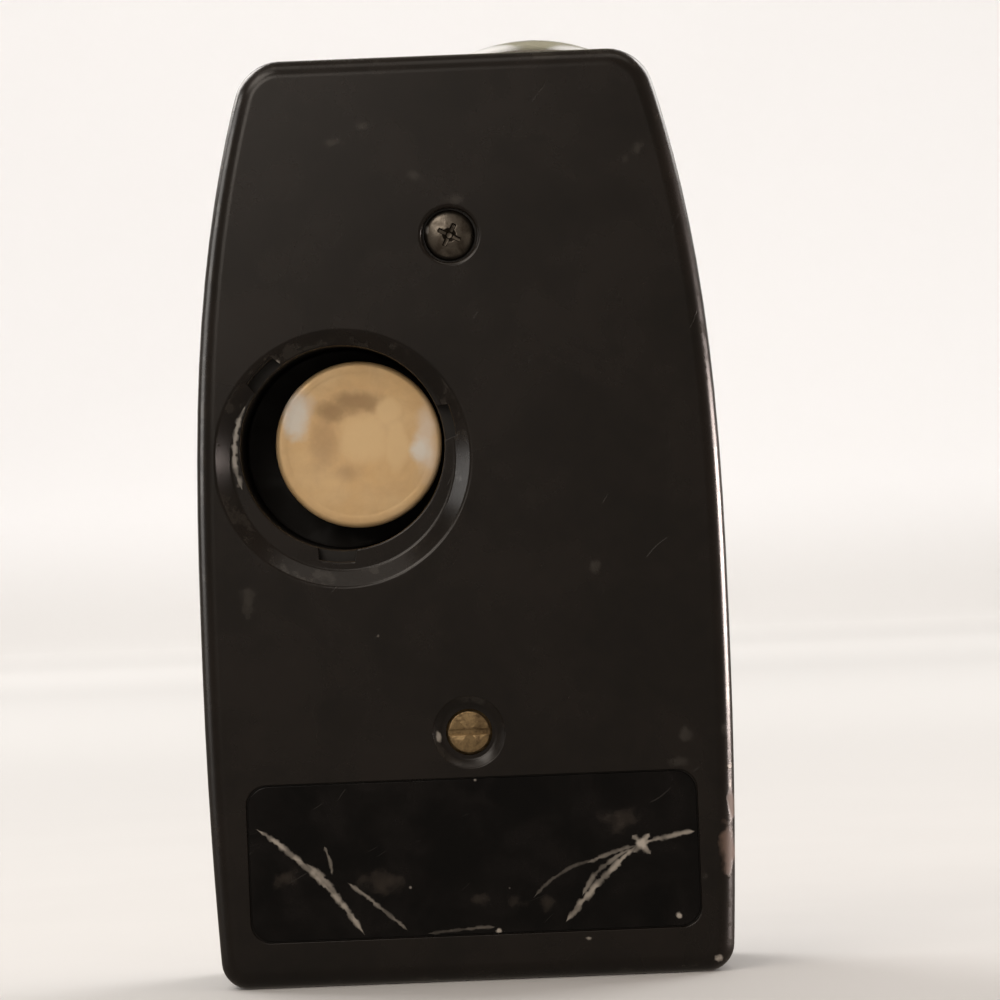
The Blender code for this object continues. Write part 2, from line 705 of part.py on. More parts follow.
def make_screw_cutter():
    """The sunk seat and the hole of the cover screw."""
    seat_radius = SCREW_HEAD_RADIUS + RUN_GAP
    hole_radius = SCREW_SHANK_RADIUS + RUN_GAP
    profile = [
        (0, CUT_OVERRUN),
        (seat_radius + SCREW_SINK / 3, CUT_OVERRUN),
        (seat_radius + SCREW_SINK / 3, 0),
        (seat_radius, -SCREW_SINK / 3),
        (seat_radius, -SCREW_SINK),
        (hole_radius, -SCREW_SINK),
        (hole_radius, -COVER_DEPTH - CUT_OVERRUN),
        (0, -COVER_DEPTH - CUT_OVERRUN),
    ]
    return turned_solid("screw_seat_cut", profile, (0, BACK_Y, SCREW_HEIGHT), BACKWARD, None)


def make_zero_cutter():
    """The dished hole of the zero adjuster."""
    hole_radius = ZERO_HEAD_RADIUS + RUN_GAP
    profile = [
        (0, CUT_OVERRUN),
        (ZERO_DISH_RADIUS, CUT_OVERRUN),
        (ZERO_DISH_RADIUS, 0),
        (ZERO_DISH_RADIUS - ZERO_DISH_SLOPE, -ZERO_DISH_DEPTH),
        (hole_radius, -ZERO_DISH_DEPTH),
        (hole_radius, -WALL - CUT_OVERRUN),
        (0, -WALL - CUT_OVERRUN),
    ]
    return turned_solid("zero_seat_cut", profile, (0, BACK_Y, ZERO_HEIGHT), BACKWARD, None)


def label_loop(clearance):
    """The label field's outline."""
    middle = LABEL_BASE_MARGIN + LABEL_HEIGHT / 2
    width = 2 * (WIDEST_HALF_WIDTH - BASE_DRAW_IN - LABEL_SIDE_MARGIN - clearance)
    height = LABEL_HEIGHT - 2 * clearance
    return rectangle_loop(0, middle, width, height, LABEL_CORNER_RADIUS - clearance)


def make_label_plate():
    """The thin black plate glued into the label field."""
    floor_y = BACK_Y + LABEL_SINK - LABEL_CLEARANCE
    face_y = floor_y - LABEL_THICKNESS
    flat_solid("label_plate", [label_loop(LABEL_CLEARANCE)], face_y, floor_y, "label_black")


def make_cover_screw():
    """The cross-head screw that holds the cover."""
    seat = -SCREW_SINK + SEAT_GAP
    rim = seat + SCREW_HEAD_RISE / 3
    crown = seat + SCREW_HEAD_RISE
    end = -COVER_DEPTH - SCREW_GRIP
    profile = [
        (0, crown),
        (SCREW_HEAD_RADIUS / 2, crown - SCREW_HEAD_RISE / 12),
        (SCREW_HEAD_RADIUS * 4 / 5, crown - SCREW_HEAD_RISE / 4),
        (SCREW_HEAD_RADIUS, rim),
        (SCREW_HEAD_RADIUS, seat),
        (SCREW_SHANK_RADIUS, seat),
        (SCREW_SHANK_RADIUS, end),
        (0, end),
    ]
    place = (0, BACK_Y, SCREW_HEIGHT)
    screw = turned_solid("cover_screw", profile, place, BACKWARD, "dark_steel", 24)
    for index, mesh in enumerate(cross_arms(BACK_Y - crown)):
        combine(screw, add_tool("cross_cut_" + str(index), mesh), "DIFFERENCE")


def cross_arms(top_y):
    """The two slots of the cross, each its own tool."""
    meshes = []
    for reach_x, reach_z in ((CROSS_REACH, CROSS_WIDTH / 2), (CROSS_WIDTH / 2, CROSS_REACH)):
        low = (-reach_x, top_y - CUT_OVERRUN, SCREW_HEIGHT - reach_z)
        high = (reach_x, top_y + CROSS_DEPTH, SCREW_HEIGHT + reach_z)
        meshes.append(mesh_from("cross_arm", lambda body, low=low, high=high: add_block(body, low, high)))
    return meshes


def window_loop(margin):
    """The scale window's outline, grown by a margin."""
    top, base = WINDOW_TOP + margin, WINDOW_BASE - margin
    wide, narrow = WINDOW_TOP_HALF_WIDTH + margin, WINDOW_BASE_HALF_WIDTH + margin
    corners = [(-narrow, base), (narrow, base), (wide, top), (-wide, top)]
    return rounded_loop(corners, WINDOW_CORNER_RADIUS + margin)


def chassis_posts():
    """Where the front case carries the chassis."""
    places = []
    for height in (CHASSIS_BASE_HEIGHT + CHASSIS_LOWER_POST_RISE, CHASSIS_TOP - CHASSIS_UPPER_POST_DROP):
        x = side_half_width(height) - FRONT_DRAFT - WALL - CHASSIS_POST_INSET
        places.extend([(-x, height), (x, height)])
    return places


def slider_slot_length():
    """The length of the slot that the slide switch's stem runs in."""
    return SLIDER_STEM_LENGTH + SLIDER_TRAVEL + 2 * RUN_GAP


def make_front_case():
    """The front shell, open for the window, dial spindle, cell, button and slide switch."""
    lip_y = PARTING_Y + SEAT_GAP / 2
    case = shell_solid("front_case", body_loop(FRONT_DRAFT), body_loop(0), FRONT_Y, lip_y, "black_case")
    inner_y = FRONT_Y - WALL / 2
    posts = []
    for x, z in chassis_posts():
        posts.append((x, z, CHASSIS_FRONT_Y + SEAT_GAP, inner_y, CHASSIS_POST_RADIUS))
    for side in (-1, 1):
        lug_y = FRONT_BRIDGE_Y + BRIDGE_THICKNESS + SEAT_GAP
        posts.append((side * BRIDGE_LUG_X, MOVEMENT_HEIGHT, lug_y, inner_y, BRIDGE_LUG_RADIUS))
    posts.append((0, DIAL_HEIGHT, CASE_INSIDE_Y - SPINDLE_BOSS_HEIGHT, inner_y, SPINDLE_BOSS_RADIUS))
    combine(case, posts_solid("case_posts", posts, None), "UNION")
    far_y = FRONT_Y + CUT_OVERRUN
    near_y = CASE_INSIDE_Y - CUT_OVERRUN
    combine(case, flat_solid("window_cut", [window_loop(0)], near_y, far_y, None), "DIFFERENCE")
    spindle_y = CASE_INSIDE_Y - SPINDLE_BOSS_HEIGHT - CUT_OVERRUN
    holes = [
        (0, DIAL_HEIGHT, spindle_y, far_y, SPINDLE_RADIUS + RUN_GAP),
        (CONTROL_X, CONTROL_HEIGHT, near_y, far_y, BUTTON_RADIUS + RUN_GAP),
    ]
    screw_hole = MOVEMENT_SCREW_RADIUS + RUN_GAP / 2
    for x, z in chassis_posts():
        holes.append((x, z, CHASSIS_FRONT_Y - CUT_OVERRUN, CASE_INSIDE_Y, screw_hole))
    for side in (-1, 1):
        holes.append((side * BRIDGE_LUG_X, MOVEMENT_HEIGHT, FRONT_BRIDGE_Y, CASE_INSIDE_Y, screw_hole))
    combine(case, posts_solid("case_holes", holes, None), "DIFFERENCE")
    slot_width = SLIDER_STEM_WIDTH + 2 * RUN_GAP
    slot_middle = CONTROL_HEIGHT + SLIDER_TRAVEL / 2
    slot = rectangle_loop(-CONTROL_X, slot_middle, slot_width, slider_slot_length(), RUN_GAP)
    combine(case, flat_solid("slider_slot_cut", [slot], near_y, far_y, None), "DIFFERENCE")
    neck = BEZEL_NECK_RADIUS + RUN_GAP
    below = -WALL - CUT_OVERRUN
    profile = [(0, CUT_OVERRUN), (neck, CUT_OVERRUN), (neck, below), (0, below)]
    cell_hole = turned_solid("cell_hole_cut", profile, (CELL_X, CELL_Y, BODY_HEIGHT), UPWARD, None)
    combine(case, cell_hole, "DIFFERENCE")


def face_plate_loop():
    """The face plate's outline: along the case's sides, and hollow below round the dial."""
    inset = FRONT_DRAFT + EDGE_RADIUS + FACE_PLATE_EDGE_MARGIN
    reach = DIAL_PLATE_RADIUS + FACE_PLATE_DIAL_GAP
    drop = FACE_PLATE_BASE_HEIGHT - DIAL_HEIGHT
    start = math.degrees(math.asin(drop / reach))
    loop = arc(0, DIAL_HEIGHT, reach, 180 - start, start, SMALL_ROUND_STEPS)
    base_x = side_half_width(FACE_PLATE_BASE_HEIGHT) - inset
    radius = FACE_PLATE_CORNER_RADIUS
    top = BODY_HEIGHT - inset
    lean = side_lean(top - radius)
    side_top = top - radius + radius * math.sin(math.radians(lean))
    top_x = side_half_width(side_top) - inset - radius * math.cos(math.radians(lean))
    right = arc(base_x - radius, FACE_PLATE_BASE_HEIGHT + radius, radius, -90, 0, CORNER_STEPS)
    first = FACE_PLATE_BASE_HEIGHT + radius
    for step in range(1, SIDE_STEPS // 2):
        height = first + (side_top - first) * step / (SIDE_STEPS // 2)
        right.append((side_half_width(height) - inset, height))
    right.extend(arc(top_x, top - radius, radius, lean, 90, CORNER_STEPS))
    left = [(-x, z) for x, z in reversed(right)]
    return loop + right + left


def make_face_plate():
    """The brushed metal plate round the window."""
    button = circle_loop(CONTROL_X, CONTROL_HEIGHT, BUTTON_RADIUS + 2 * RUN_GAP, SMALL_ROUND_STEPS)
    slot_middle = CONTROL_HEIGHT + SLIDER_TRAVEL / 2
    slot_width = SLIDER_STEM_WIDTH + 4 * RUN_GAP
    slot = rectangle_loop(-CONTROL_X, slot_middle, slot_width, slider_slot_length() + 2 * RUN_GAP, RUN_GAP)
    low_y = FRONT_Y + SEAT_GAP
    loops = [face_plate_loop(), window_loop(SEAT_GAP), button, slot]
    flat_solid("face_plate", loops, low_y, low_y + FACE_PLATE_THICKNESS, "satin_aluminium")


def make_window():
    """The clear window: a block that fills the opening, on a flange inside the case."""
    flange_y = CASE_INSIDE_Y - SEAT_GAP
    low_y = flange_y - WINDOW_FLANGE_THICKNESS
    window = flat_solid("meter_window", [window_loop(WINDOW_FLANGE)], low_y, flange_y, "clear_plastic")
    pane_front = FRONT_Y + WINDOW_RISE
    pane_back = low_y + WINDOW_FLANGE_THICKNESS / 2
    pane = flat_solid("window_pane", [window_loop(-SEAT_GAP)], pane_back, pane_front, None)
    combine(window, pane, "UNION")


def make_scale_plate():
    """The printed plate behind the pointer."""
    flat_solid("scale_plate", [window_loop(0)], SCALE_BACK_Y, SCALE_FRONT_Y, "scale_white")


def chassis_loop():
    """The chassis outline: inside the case's walls, arched over the movement."""
    inset = FRONT_DRAFT + WALL + CHASSIS_SIDE_CLEARANCE
    reach = YOKE_RADIUS + CHASSIS_ARCH_CLEARANCE
    rise = CHASSIS_BASE_HEIGHT - MOVEMENT_HEIGHT
    start = math.degrees(math.asin(rise / reach))
    loop = arc(0, MOVEMENT_HEIGHT, reach, 180 - start, start, SMALL_ROUND_STEPS)
    radius = CHASSIS_CORNER_RADIUS
    base_x = side_half_width(CHASSIS_BASE_HEIGHT) - inset
    right = arc(base_x - radius, CHASSIS_BASE_HEIGHT + radius, radius, -90, 0, CORNER_STEPS)
    first = CHASSIS_BASE_HEIGHT + radius
    last = CHASSIS_TOP - radius
    for step in range(1, SIDE_STEPS // 2 + 1):
        height = first + (last - first) * step / (SIDE_STEPS // 2)
        right.append((side_half_width(height) - inset, height))
    right.append((side_half_width(CHASSIS_TOP) - inset - radius, CHASSIS_TOP))
    left = [(-x, z) for x, z in reversed(right)]
    return loop + right + left


def board_posts():
    """Where the chassis carries the circuit board."""
    spread = BOARD_HEIGHT / 2 - 2 * BOARD_POST_RADIUS
    return [(BOARD_X, BOARD_Z - spread), (BOARD_X, BOARD_Z + spread)]


def make_chassis():
    """The inner plate that carries the scale, the board and the cover screw's boss."""
    screw_hole = MOVEMENT_SCREW_RADIUS + RUN_GAP / 2
    holes = [circle_loop(x, z, screw_hole, TINY_ROUND_STEPS) for x, z in chassis_posts()]
    loops = [chassis_loop(), *holes]
    chassis = flat_solid("chassis", loops, CHASSIS_BACK_Y, CHASSIS_FRONT_Y, "inner_black")
    inner_y = CHASSIS_FRONT_Y - CHASSIS_THICKNESS / 2
    boss_radius = SCREW_SHANK_RADIUS + RUN_GAP + SCREW_BOSS_WALL
    posts = [(0, SCREW_HEIGHT, PARTING_Y + SEAT_GAP, inner_y, boss_radius)]
    for x, z in board_posts():
        posts.append((x, z, CHASSIS_BACK_Y - BOARD_STAND_OFF + SEAT_GAP, inner_y, BOARD_POST_RADIUS))
    combine(chassis, posts_solid("chassis_posts", posts, None), "UNION")
    end_y = PARTING_Y + SCREW_GRIP + SEAT_GAP
    hole = [(0, SCREW_HEIGHT, PARTING_Y - CUT_OVERRUN, end_y, SCREW_SHANK_RADIUS + RUN_GAP)]
    combine(chassis, posts_solid("boss_hole", hole, None), "DIFFERENCE")


def make_screws(name, places, seat_y, length):
    """Small pan-head screws put in from the rear, each its own piece."""
    head_y = seat_y - SEAT_GAP
    rings = [
        (MOVEMENT_SCREW_HEAD_RADIUS, head_y - MOVEMENT_SCREW_HEAD_HEIGHT),
        (MOVEMENT_SCREW_HEAD_RADIUS, head_y),
        (MOVEMENT_SCREW_RADIUS, head_y),
        (MOVEMENT_SCREW_RADIUS, head_y + length),
    ]
    for number, (x, z) in enumerate(places, start=1):
        stepped_solid(name + "_" + str(number), x, z, rings, "dark_steel")


def stepped_solid(name, x, z, rings, material):
    """A small turned piece along Y, through rings of radius and depth from the rear forwards."""
    profile = [(0, rings[-1][1]), *reversed(rings), (0, rings[0][1])]
    return turned_solid(name, profile, (x, 0, z), FORWARD, material, TINY_ROUND_STEPS)


def make_cell():
    """The light cell with its holder, its bezel and its lens, on the upper end."""
    place = (CELL_X, CELL_Y, BODY_HEIGHT)

    def dome(radius):
        return BEZEL_RISE - BEZEL_DOME_RADIUS + math.sqrt(BEZEL_DOME_RADIUS ** 2 - radius ** 2)

    seat = LENS_RADIUS + RUN_GAP
    steps = 5
    crown = []
    for step in range(steps + 1):
        radius = seat + (BEZEL_RADIUS - seat) * step / steps
        crown.append((radius, dome(radius)))
    neck_end = -WALL - SEAT_GAP
    profile = crown + [
        (BEZEL_RADIUS, BEZEL_RIM),
        (BEZEL_NECK_RADIUS, BEZEL_RIM),
        (BEZEL_NECK_RADIUS, neck_end),
        (seat, neck_end),
    ]
    turned_solid("cell_bezel", profile, place, UPWARD, "chrome", ROUND_STEPS, closed=True)
    lens_top = [(LENS_RADIUS * step / 3, dome(LENS_RADIUS * step / 3)) for step in range(4)]
    lens_base = dome(0) - LENS_DEPTH
    lens = lens_top + [(LENS_RADIUS, lens_base), (0, lens_base)]
    turned_solid("cell_lens", lens, place, UPWARD, "lens_glass", 24)
    top = neck_end - SEAT_GAP
    base = top - CELL_HOLDER_DEPTH
    inner = CELL_HOLDER_RADIUS - CELL_HOLDER_WALL
    floor = base + CELL_HOLDER_WALL
    holder = [
        (CELL_HOLDER_RADIUS, top),
        (CELL_HOLDER_RADIUS, base),
        (0, base),
    ]
    holder = [(0, floor), (inner, floor), (inner, top)] + holder
    turned_solid("cell_holder", holder, place, UPWARD, "inner_black", 24)
    cell_base = floor + SEAT_GAP
    cell_top = cell_base + CELL_THICKNESS
    cell = [(0, cell_top), (CELL_RADIUS, cell_top), (CELL_RADIUS, cell_base), (0, cell_base)]
    turned_solid("photocell", cell, place, UPWARD, "cell_red", 20)


def make_board():
    """The circuit board with its resistors and its trimmer."""
    front_y = CHASSIS_BACK_Y - BOARD_STAND_OFF
    back_y = front_y - BOARD_THICKNESS
    loop = rectangle_loop(BOARD_X, BOARD_Z, BOARD_WIDTH, BOARD_HEIGHT, BOARD_CORNER_RADIUS)
    flat_solid("circuit_board", [loop], back_y, front_y, "board_brown")
    seat_y = back_y - SEAT_GAP
    for index in range(RESISTOR_COUNT):
        z = BOARD_Z + BOARD_HEIGHT / 4 - index * RESISTOR_PITCH
        make_resistor("resistor_" + str(index + 1), (BOARD_X, seat_y - RESISTOR_RADIUS, z))
    trimmer_z = z - RESISTOR_RADIUS - TRIMMER_GAP - TRIMMER_RADIUS
    trimmer = (BOARD_X, trimmer_z, seat_y - TRIMMER_HEIGHT, seat_y, TRIMMER_RADIUS)
    posts_solid("trimmer", [trimmer], "inner_black")


def make_resistor(name, place):
    """One resistor, a small barrel that lies along X."""
    waist = RESISTOR_RADIUS * 4 / 5
    half = RESISTOR_LENGTH / 2
    bulge = half * 3 / 5
    profile = [(0, half), (RESISTOR_RADIUS, half), (RESISTOR_RADIUS, bulge), (waist, bulge * 4 / 5)]
    profile += [(radius, -height) for radius, height in reversed(profile)]
    turned_solid(name, profile, place, (0, math.pi / 2, 0), "board_brown", TINY_ROUND_STEPS)


def make_battery_chamber():
    """The insulating cup behind the mouth, with its coil contact."""
    outer = WELL_OUTER_RADIUS
    depth = WELL_BOTTOM_Y - WELL_MOUTH_Y
    profile = [
        (0, WELL_FLOOR - depth),
        (WELL_RADIUS, WELL_FLOOR - depth),
        (WELL_RADIUS, 0),
        (outer, 0),
        (outer, -depth),
        (0, -depth),
    ]
    place = (WELL_X, WELL_MOUTH_Y, WELL_HEIGHT)
    turned_solid("battery_cup", profile, place, BACKWARD, "inner_black")
    points = []
    total = CONTACT_TURNS * CONTACT_POINTS_PER_TURN
    first_y = WELL_SEAT_Y - SEAT_GAP - CONTACT_WIRE_RADIUS
    last_y = BATTERY_INNER_Y + SEAT_GAP + CONTACT_WIRE_RADIUS
    for index in range(total + 1):
        share = index / total
        angle = 2 * math.pi * CONTACT_TURNS * share
        radius = CONTACT_BASE_RADIUS + (CONTACT_TIP_RADIUS - CONTACT_BASE_RADIUS) * share
        y = first_y + (last_y - first_y) * share
        points.append((BATTERY_X + radius * math.cos(angle), y, BATTERY_Z + radius * math.sin(angle)))
    wire_solid("contact_spring", points, CONTACT_WIRE_RADIUS, "brass", resolution=1)


def make_battery():
    """The button cell: its can faces out, its small cap lies inwards."""
    can_depth = BATTERY_HEIGHT * BATTERY_CAN_SHARE
    edge = BATTERY_EDGE
    place = (BATTERY_X, BATTERY_OUTER_Y, BATTERY_Z)
    can = [(0, 0), (BATTERY_RADIUS - edge, 0)]
    for step in range(1, 4):
        angle = math.radians(90 - 30 * step)
        can.append((BATTERY_RADIUS - edge + edge * math.cos(angle), edge * math.sin(angle) - edge))
    can.extend([(BATTERY_RADIUS, -can_depth), (0, -can_depth)])
    turned_solid("battery_can", can, place, BACKWARD, "battery_steel", 40)
    seal_top = -can_depth - SEAT_GAP
    cap_end = -BATTERY_HEIGHT
    seal_end = (seal_top + cap_end) / 2
    seal_outer = BATTERY_RADIUS - BATTERY_SEAL_WIDTH
    inner = BATTERY_CAP_RADIUS + SEAT_GAP
    seal = [(inner, seal_top), (seal_outer, seal_top), (seal_outer, seal_end), (inner, seal_end)]
    turned_solid("battery_seal", seal, place, BACKWARD, "inner_black", 24, closed=True)
    cap = [(0, seal_top), (BATTERY_CAP_RADIUS, seal_top), (BATTERY_CAP_RADIUS, cap_end), (0, cap_end)]
    turned_solid("battery_cap", cap, place, BACKWARD, "battery_steel", 24)


def make_zero_screw():
    """The slotted brass adjuster with its eccentric pin."""
    head = -ZERO_HEAD_SINK
    flange_top = -WALL - SEAT_GAP
    flange_end = flange_top - ZERO_FLANGE_THICKNESS
    profile = [
        (0, head),
        (ZERO_HEAD_RADIUS, head),
        (ZERO_HEAD_RADIUS, flange_top),
        (ZERO_FLANGE_RADIUS, flange_top),
        (ZERO_FLANGE_RADIUS, flange_end),
        (0, flange_end),
    ]
    place = (0, BACK_Y, ZERO_HEIGHT)
    screw = turned_solid("zero_adjust_screw", profile, place, BACKWARD, "brass", 24)
    pin_z = ZERO_HEIGHT + ZERO_PIN_OFFSET
    pin_from = BACK_Y - flange_end - ZERO_FLANGE_THICKNESS / 2
    pin_to = LEVER_Y + ZERO_LEVER_THICKNESS
    pin = posts_solid("zero_pin", [(0, pin_z, pin_from, pin_to, ZERO_PIN_RADIUS)], None, TINY_ROUND_STEPS)
    combine(screw, pin, "UNION")
    top_y = BACK_Y - head
    reach = ZERO_HEAD_RADIUS + CUT_OVERRUN
    low = (-reach, top_y - CUT_OVERRUN, ZERO_HEIGHT - ZERO_SLOT_WIDTH / 2)
    high = (reach, top_y + ZERO_SLOT_DEPTH, ZERO_HEIGHT + ZERO_SLOT_WIDTH / 2)
    slot = add_tool("zero_slot_cut", mesh_from("zero_slot_cut", lambda body: add_block(body, low, high)))
    combine(screw, slot, "DIFFERENCE")


def make_zero_lever():
    """The lever that carries the hairspring's outer end, with a fork on the adjuster's pin."""
    hub = ZERO_LEVER_HUB_RADIUS
    half_arm = ZERO_LEVER_ARM_WIDTH / 2
    slot = ZERO_PIN_RADIUS + FORK_CLEARANCE
    prong = slot + FORK_PRONG
    pin_z = ZERO_HEIGHT + ZERO_PIN_OFFSET
    fork_base = pin_z - FORK_LENGTH / 2
    fork_root = pin_z + FORK_LENGTH / 2
    stud_z = MOVEMENT_HEIGHT + HAIRSPRING_REACH + HAIRSPRING_STUD_RADIUS + SEAT_GAP
    top_z = stud_z + half_arm
    lean = math.degrees(math.asin(half_arm / hub))
    loop = [(-prong, fork_base), (-slot, fork_base), (-slot, fork_root)]
    loop += [(slot, fork_root), (slot, fork_base), (prong, fork_base), (prong, fork_root + FORK_PRONG)]
    loop += arc(0, MOVEMENT_HEIGHT, hub, -90 + lean, 90 - lean, SMALL_ROUND_STEPS // 2)
    loop += [(half_arm, top_z), (-half_arm, top_z)]
    loop += arc(0, MOVEMENT_HEIGHT, hub, 90 + lean, 270 - lean, SMALL_ROUND_STEPS // 2)
    loop += [(-prong, fork_root + FORK_PRONG)]
    bore = circle_loop(0, MOVEMENT_HEIGHT, JEWEL_SCREW_RADIUS + RUN_GAP, SMALL_ROUND_STEPS)
    lever = flat_solid("zero_lever", [loop, bore], LEVER_Y, LEVER_Y + ZERO_LEVER_THICKNESS, "brass")
    stud_to = hairspring_y() + HAIRSPRING_WIRE_RADIUS
    stud = (0, stud_z, LEVER_Y + ZERO_LEVER_THICKNESS / 2, stud_to, HAIRSPRING_STUD_RADIUS)
    combine(lever, posts_solid("lever_stud", [stud], None, TINY_ROUND_STEPS), "UNION")


def hairspring_y():
    """The plane of the hairspring, between the coil and the rear bridge."""
    return (COIL_BACK_Y + REAR_BRIDGE_Y + BRIDGE_THICKNESS) / 2


def make_hairspring():
    """The flat spiral that returns the pointer."""
    first = PIVOT_COLLAR_RADIUS + SEAT_GAP + HAIRSPRING_WIRE_RADIUS
    total = HAIRSPRING_TURNS * HAIRSPRING_POINTS_PER_TURN
    points = []
    for index in range(total + 1):
        share = index / total
        angle = 2 * math.pi * HAIRSPRING_TURNS * share + math.pi / 2
        radius = first + (HAIRSPRING_REACH - HAIRSPRING_WIRE_RADIUS - first) * share
        x = radius * math.cos(angle)
        z = MOVEMENT_HEIGHT + radius * math.sin(angle)
        points.append((x, hairspring_y(), z))
    wire_solid("hairspring", points, HAIRSPRING_WIRE_RADIUS, "brass", resolution=0)


def bridge_loop(half_length, lug_radius):
    """A strap across the yoke with round ends."""
    half = BRIDGE_WIDTH / 2
    lean = math.degrees(math.asin(half / lug_radius))
    right = arc(half_length, MOVEMENT_HEIGHT, lug_radius, -180 + lean, 180 - lean, SMALL_ROUND_STEPS)
    left = [(-x, z) for x, z in reversed(right)]
    return right + left


def yoke_holes():
    """Where the bridges are screwed to the yoke."""
    middle = YOKE_RADIUS - YOKE_WALL / 2
    return [(-middle, MOVEMENT_HEIGHT), (middle, MOVEMENT_HEIGHT)]


def make_movement_frame():
    """The iron yoke, the core magnet and the two bridges with their jewel screws."""
    bore = YOKE_RADIUS - YOKE_WALL
    outer = circle_loop(0, MOVEMENT_HEIGHT, YOKE_RADIUS)
    inner = circle_loop(0, MOVEMENT_HEIGHT, bore)
    flat_solid("movement_yoke", [outer, inner], YOKE_BACK_Y, YOKE_FRONT_Y, "iron")
    core_radius = bore - COIL_THICKNESS - 2 * COIL_GAP
    core_back = COIL_BACK_Y + COIL_THICKNESS + COIL_GAP
    core_front = COIL_FRONT_Y - COIL_THICKNESS - COIL_GAP
    half = CORE_ARM_WIDTH / 2
    lean = math.degrees(math.asin(half / core_radius))
    reach = bore - SEAT_GAP
    right = [(reach, MOVEMENT_HEIGHT - half), (reach, MOVEMENT_HEIGHT + half)]
    over = arc(0, MOVEMENT_HEIGHT, core_radius, lean, 180 - lean, SMALL_ROUND_STEPS)
    left = [(-reach, MOVEMENT_HEIGHT + half), (-reach, MOVEMENT_HEIGHT - half)]
    under = arc(0, MOVEMENT_HEIGHT, core_radius, 180 + lean, 360 - lean, SMALL_ROUND_STEPS)
    flat_solid("core_magnet", [right + over + left + under], core_back, core_front, "iron")
    screw_hole = MOVEMENT_SCREW_RADIUS + RUN_GAP / 2
    lug_holes = []
    for side in (-1, 1):
        lug_holes.append(circle_loop(side * BRIDGE_LUG_X, MOVEMENT_HEIGHT, screw_hole, TINY_ROUND_STEPS))
    jewel_hole = circle_loop(0, MOVEMENT_HEIGHT, JEWEL_SCREW_RADIUS + SEAT_GAP, SMALL_ROUND_STEPS)
    front_loop = bridge_loop(BRIDGE_LUG_X, BRIDGE_LUG_RADIUS)
    front_y = FRONT_BRIDGE_Y + BRIDGE_THICKNESS
    flat_solid("front_bridge", [front_loop, jewel_hole, *lug_holes], FRONT_BRIDGE_Y, front_y, "brass")
    rear_loop = bridge_loop(yoke_holes()[1][0], BRIDGE_LUG_RADIUS)
    rear_y = REAR_BRIDGE_Y + BRIDGE_THICKNESS
    flat_solid("rear_bridge", [rear_loop, jewel_hole], REAR_BRIDGE_Y, rear_y, "brass")
    places = [(side * BRIDGE_LUG_X, MOVEMENT_HEIGHT) for side in (-1, 1)]
    make_screws("bridge_screw", places, FRONT_BRIDGE_Y, POINTER_ROOM)


def make_jewel_screws():
    """The two screws with jewel cups in which the pivots turn."""
    rear_end = REAR_BRIDGE_Y + BRIDGE_THICKNESS
    front_end = FRONT_BRIDGE_Y
    rear = [(JEWEL_SCREW_RADIUS, LEVER_Y - SEAT_GAP), (JEWEL_SCREW_RADIUS, rear_end)]
    front = [(JEWEL_SCREW_RADIUS, front_end), (JEWEL_SCREW_RADIUS, front_end + BRIDGE_THICKNESS + SEAT_GAP)]
    stepped_solid("jewel_screw_rear", 0, MOVEMENT_HEIGHT, rear, "dark_steel")
    stepped_solid("jewel_screw_front", 0, MOVEMENT_HEIGHT, front, "dark_steel")


def make_coil():
    """The wound frame that turns round the core, with its pivots."""
    bore = YOKE_RADIUS - YOKE_WALL
    outer = bore - COIL_GAP
    inner = outer - COIL_THICKNESS
    half = COIL_WIDTH / 2

    def build(body):
        low = (-half, COIL_BACK_Y, MOVEMENT_HEIGHT - outer)
        high = (half, COIL_FRONT_Y, MOVEMENT_HEIGHT + outer)
        add_block(body, low, high)

    def hollow(body):
        low = (-half - CUT_OVERRUN, COIL_BACK_Y + COIL_THICKNESS, MOVEMENT_HEIGHT - inner)
        high = (half + CUT_OVERRUN, COIL_FRONT_Y - COIL_THICKNESS, MOVEMENT_HEIGHT + inner)
        add_block(body, low, high)
    coil = add_piece("moving_coil", mesh_from("moving_coil", build), "copper")
    coil_hollow = add_tool("coil_hollow", mesh_from("coil_hollow", hollow))
    combine(coil, coil_hollow, "DIFFERENCE")
    spin_about_movement(coil)
    spin_about_movement(coil_hollow)
    rear_from = REAR_BRIDGE_Y + BRIDGE_THICKNESS + SEAT_GAP
    front_to = FRONT_BRIDGE_Y - SEAT_GAP

    rear = [(PIVOT_RADIUS, rear_from), (PIVOT_COLLAR_RADIUS, hairspring_y() - SEAT_GAP)]
    rear += [(PIVOT_COLLAR_RADIUS, COIL_BACK_Y - SEAT_GAP)]
    stepped_solid("pivot_rear", 0, MOVEMENT_HEIGHT, rear, "dark_steel")
    front = [(PIVOT_COLLAR_RADIUS, COIL_FRONT_Y + SEAT_GAP), (PIVOT_RADIUS, front_to)]
    stepped_solid("pivot_front", 0, MOVEMENT_HEIGHT, front, "dark_steel")


def spin_about_movement(piece):
    """Moves a piece's origin to the movement's axis and leaves its shape in place."""
    centre = Vector((0, 0, MOVEMENT_HEIGHT))
    piece.data.transform(Matrix.Translation(-centre))
    piece.location = centre
    piece.rotation_euler = (0, POINTER_LEAN, 0)


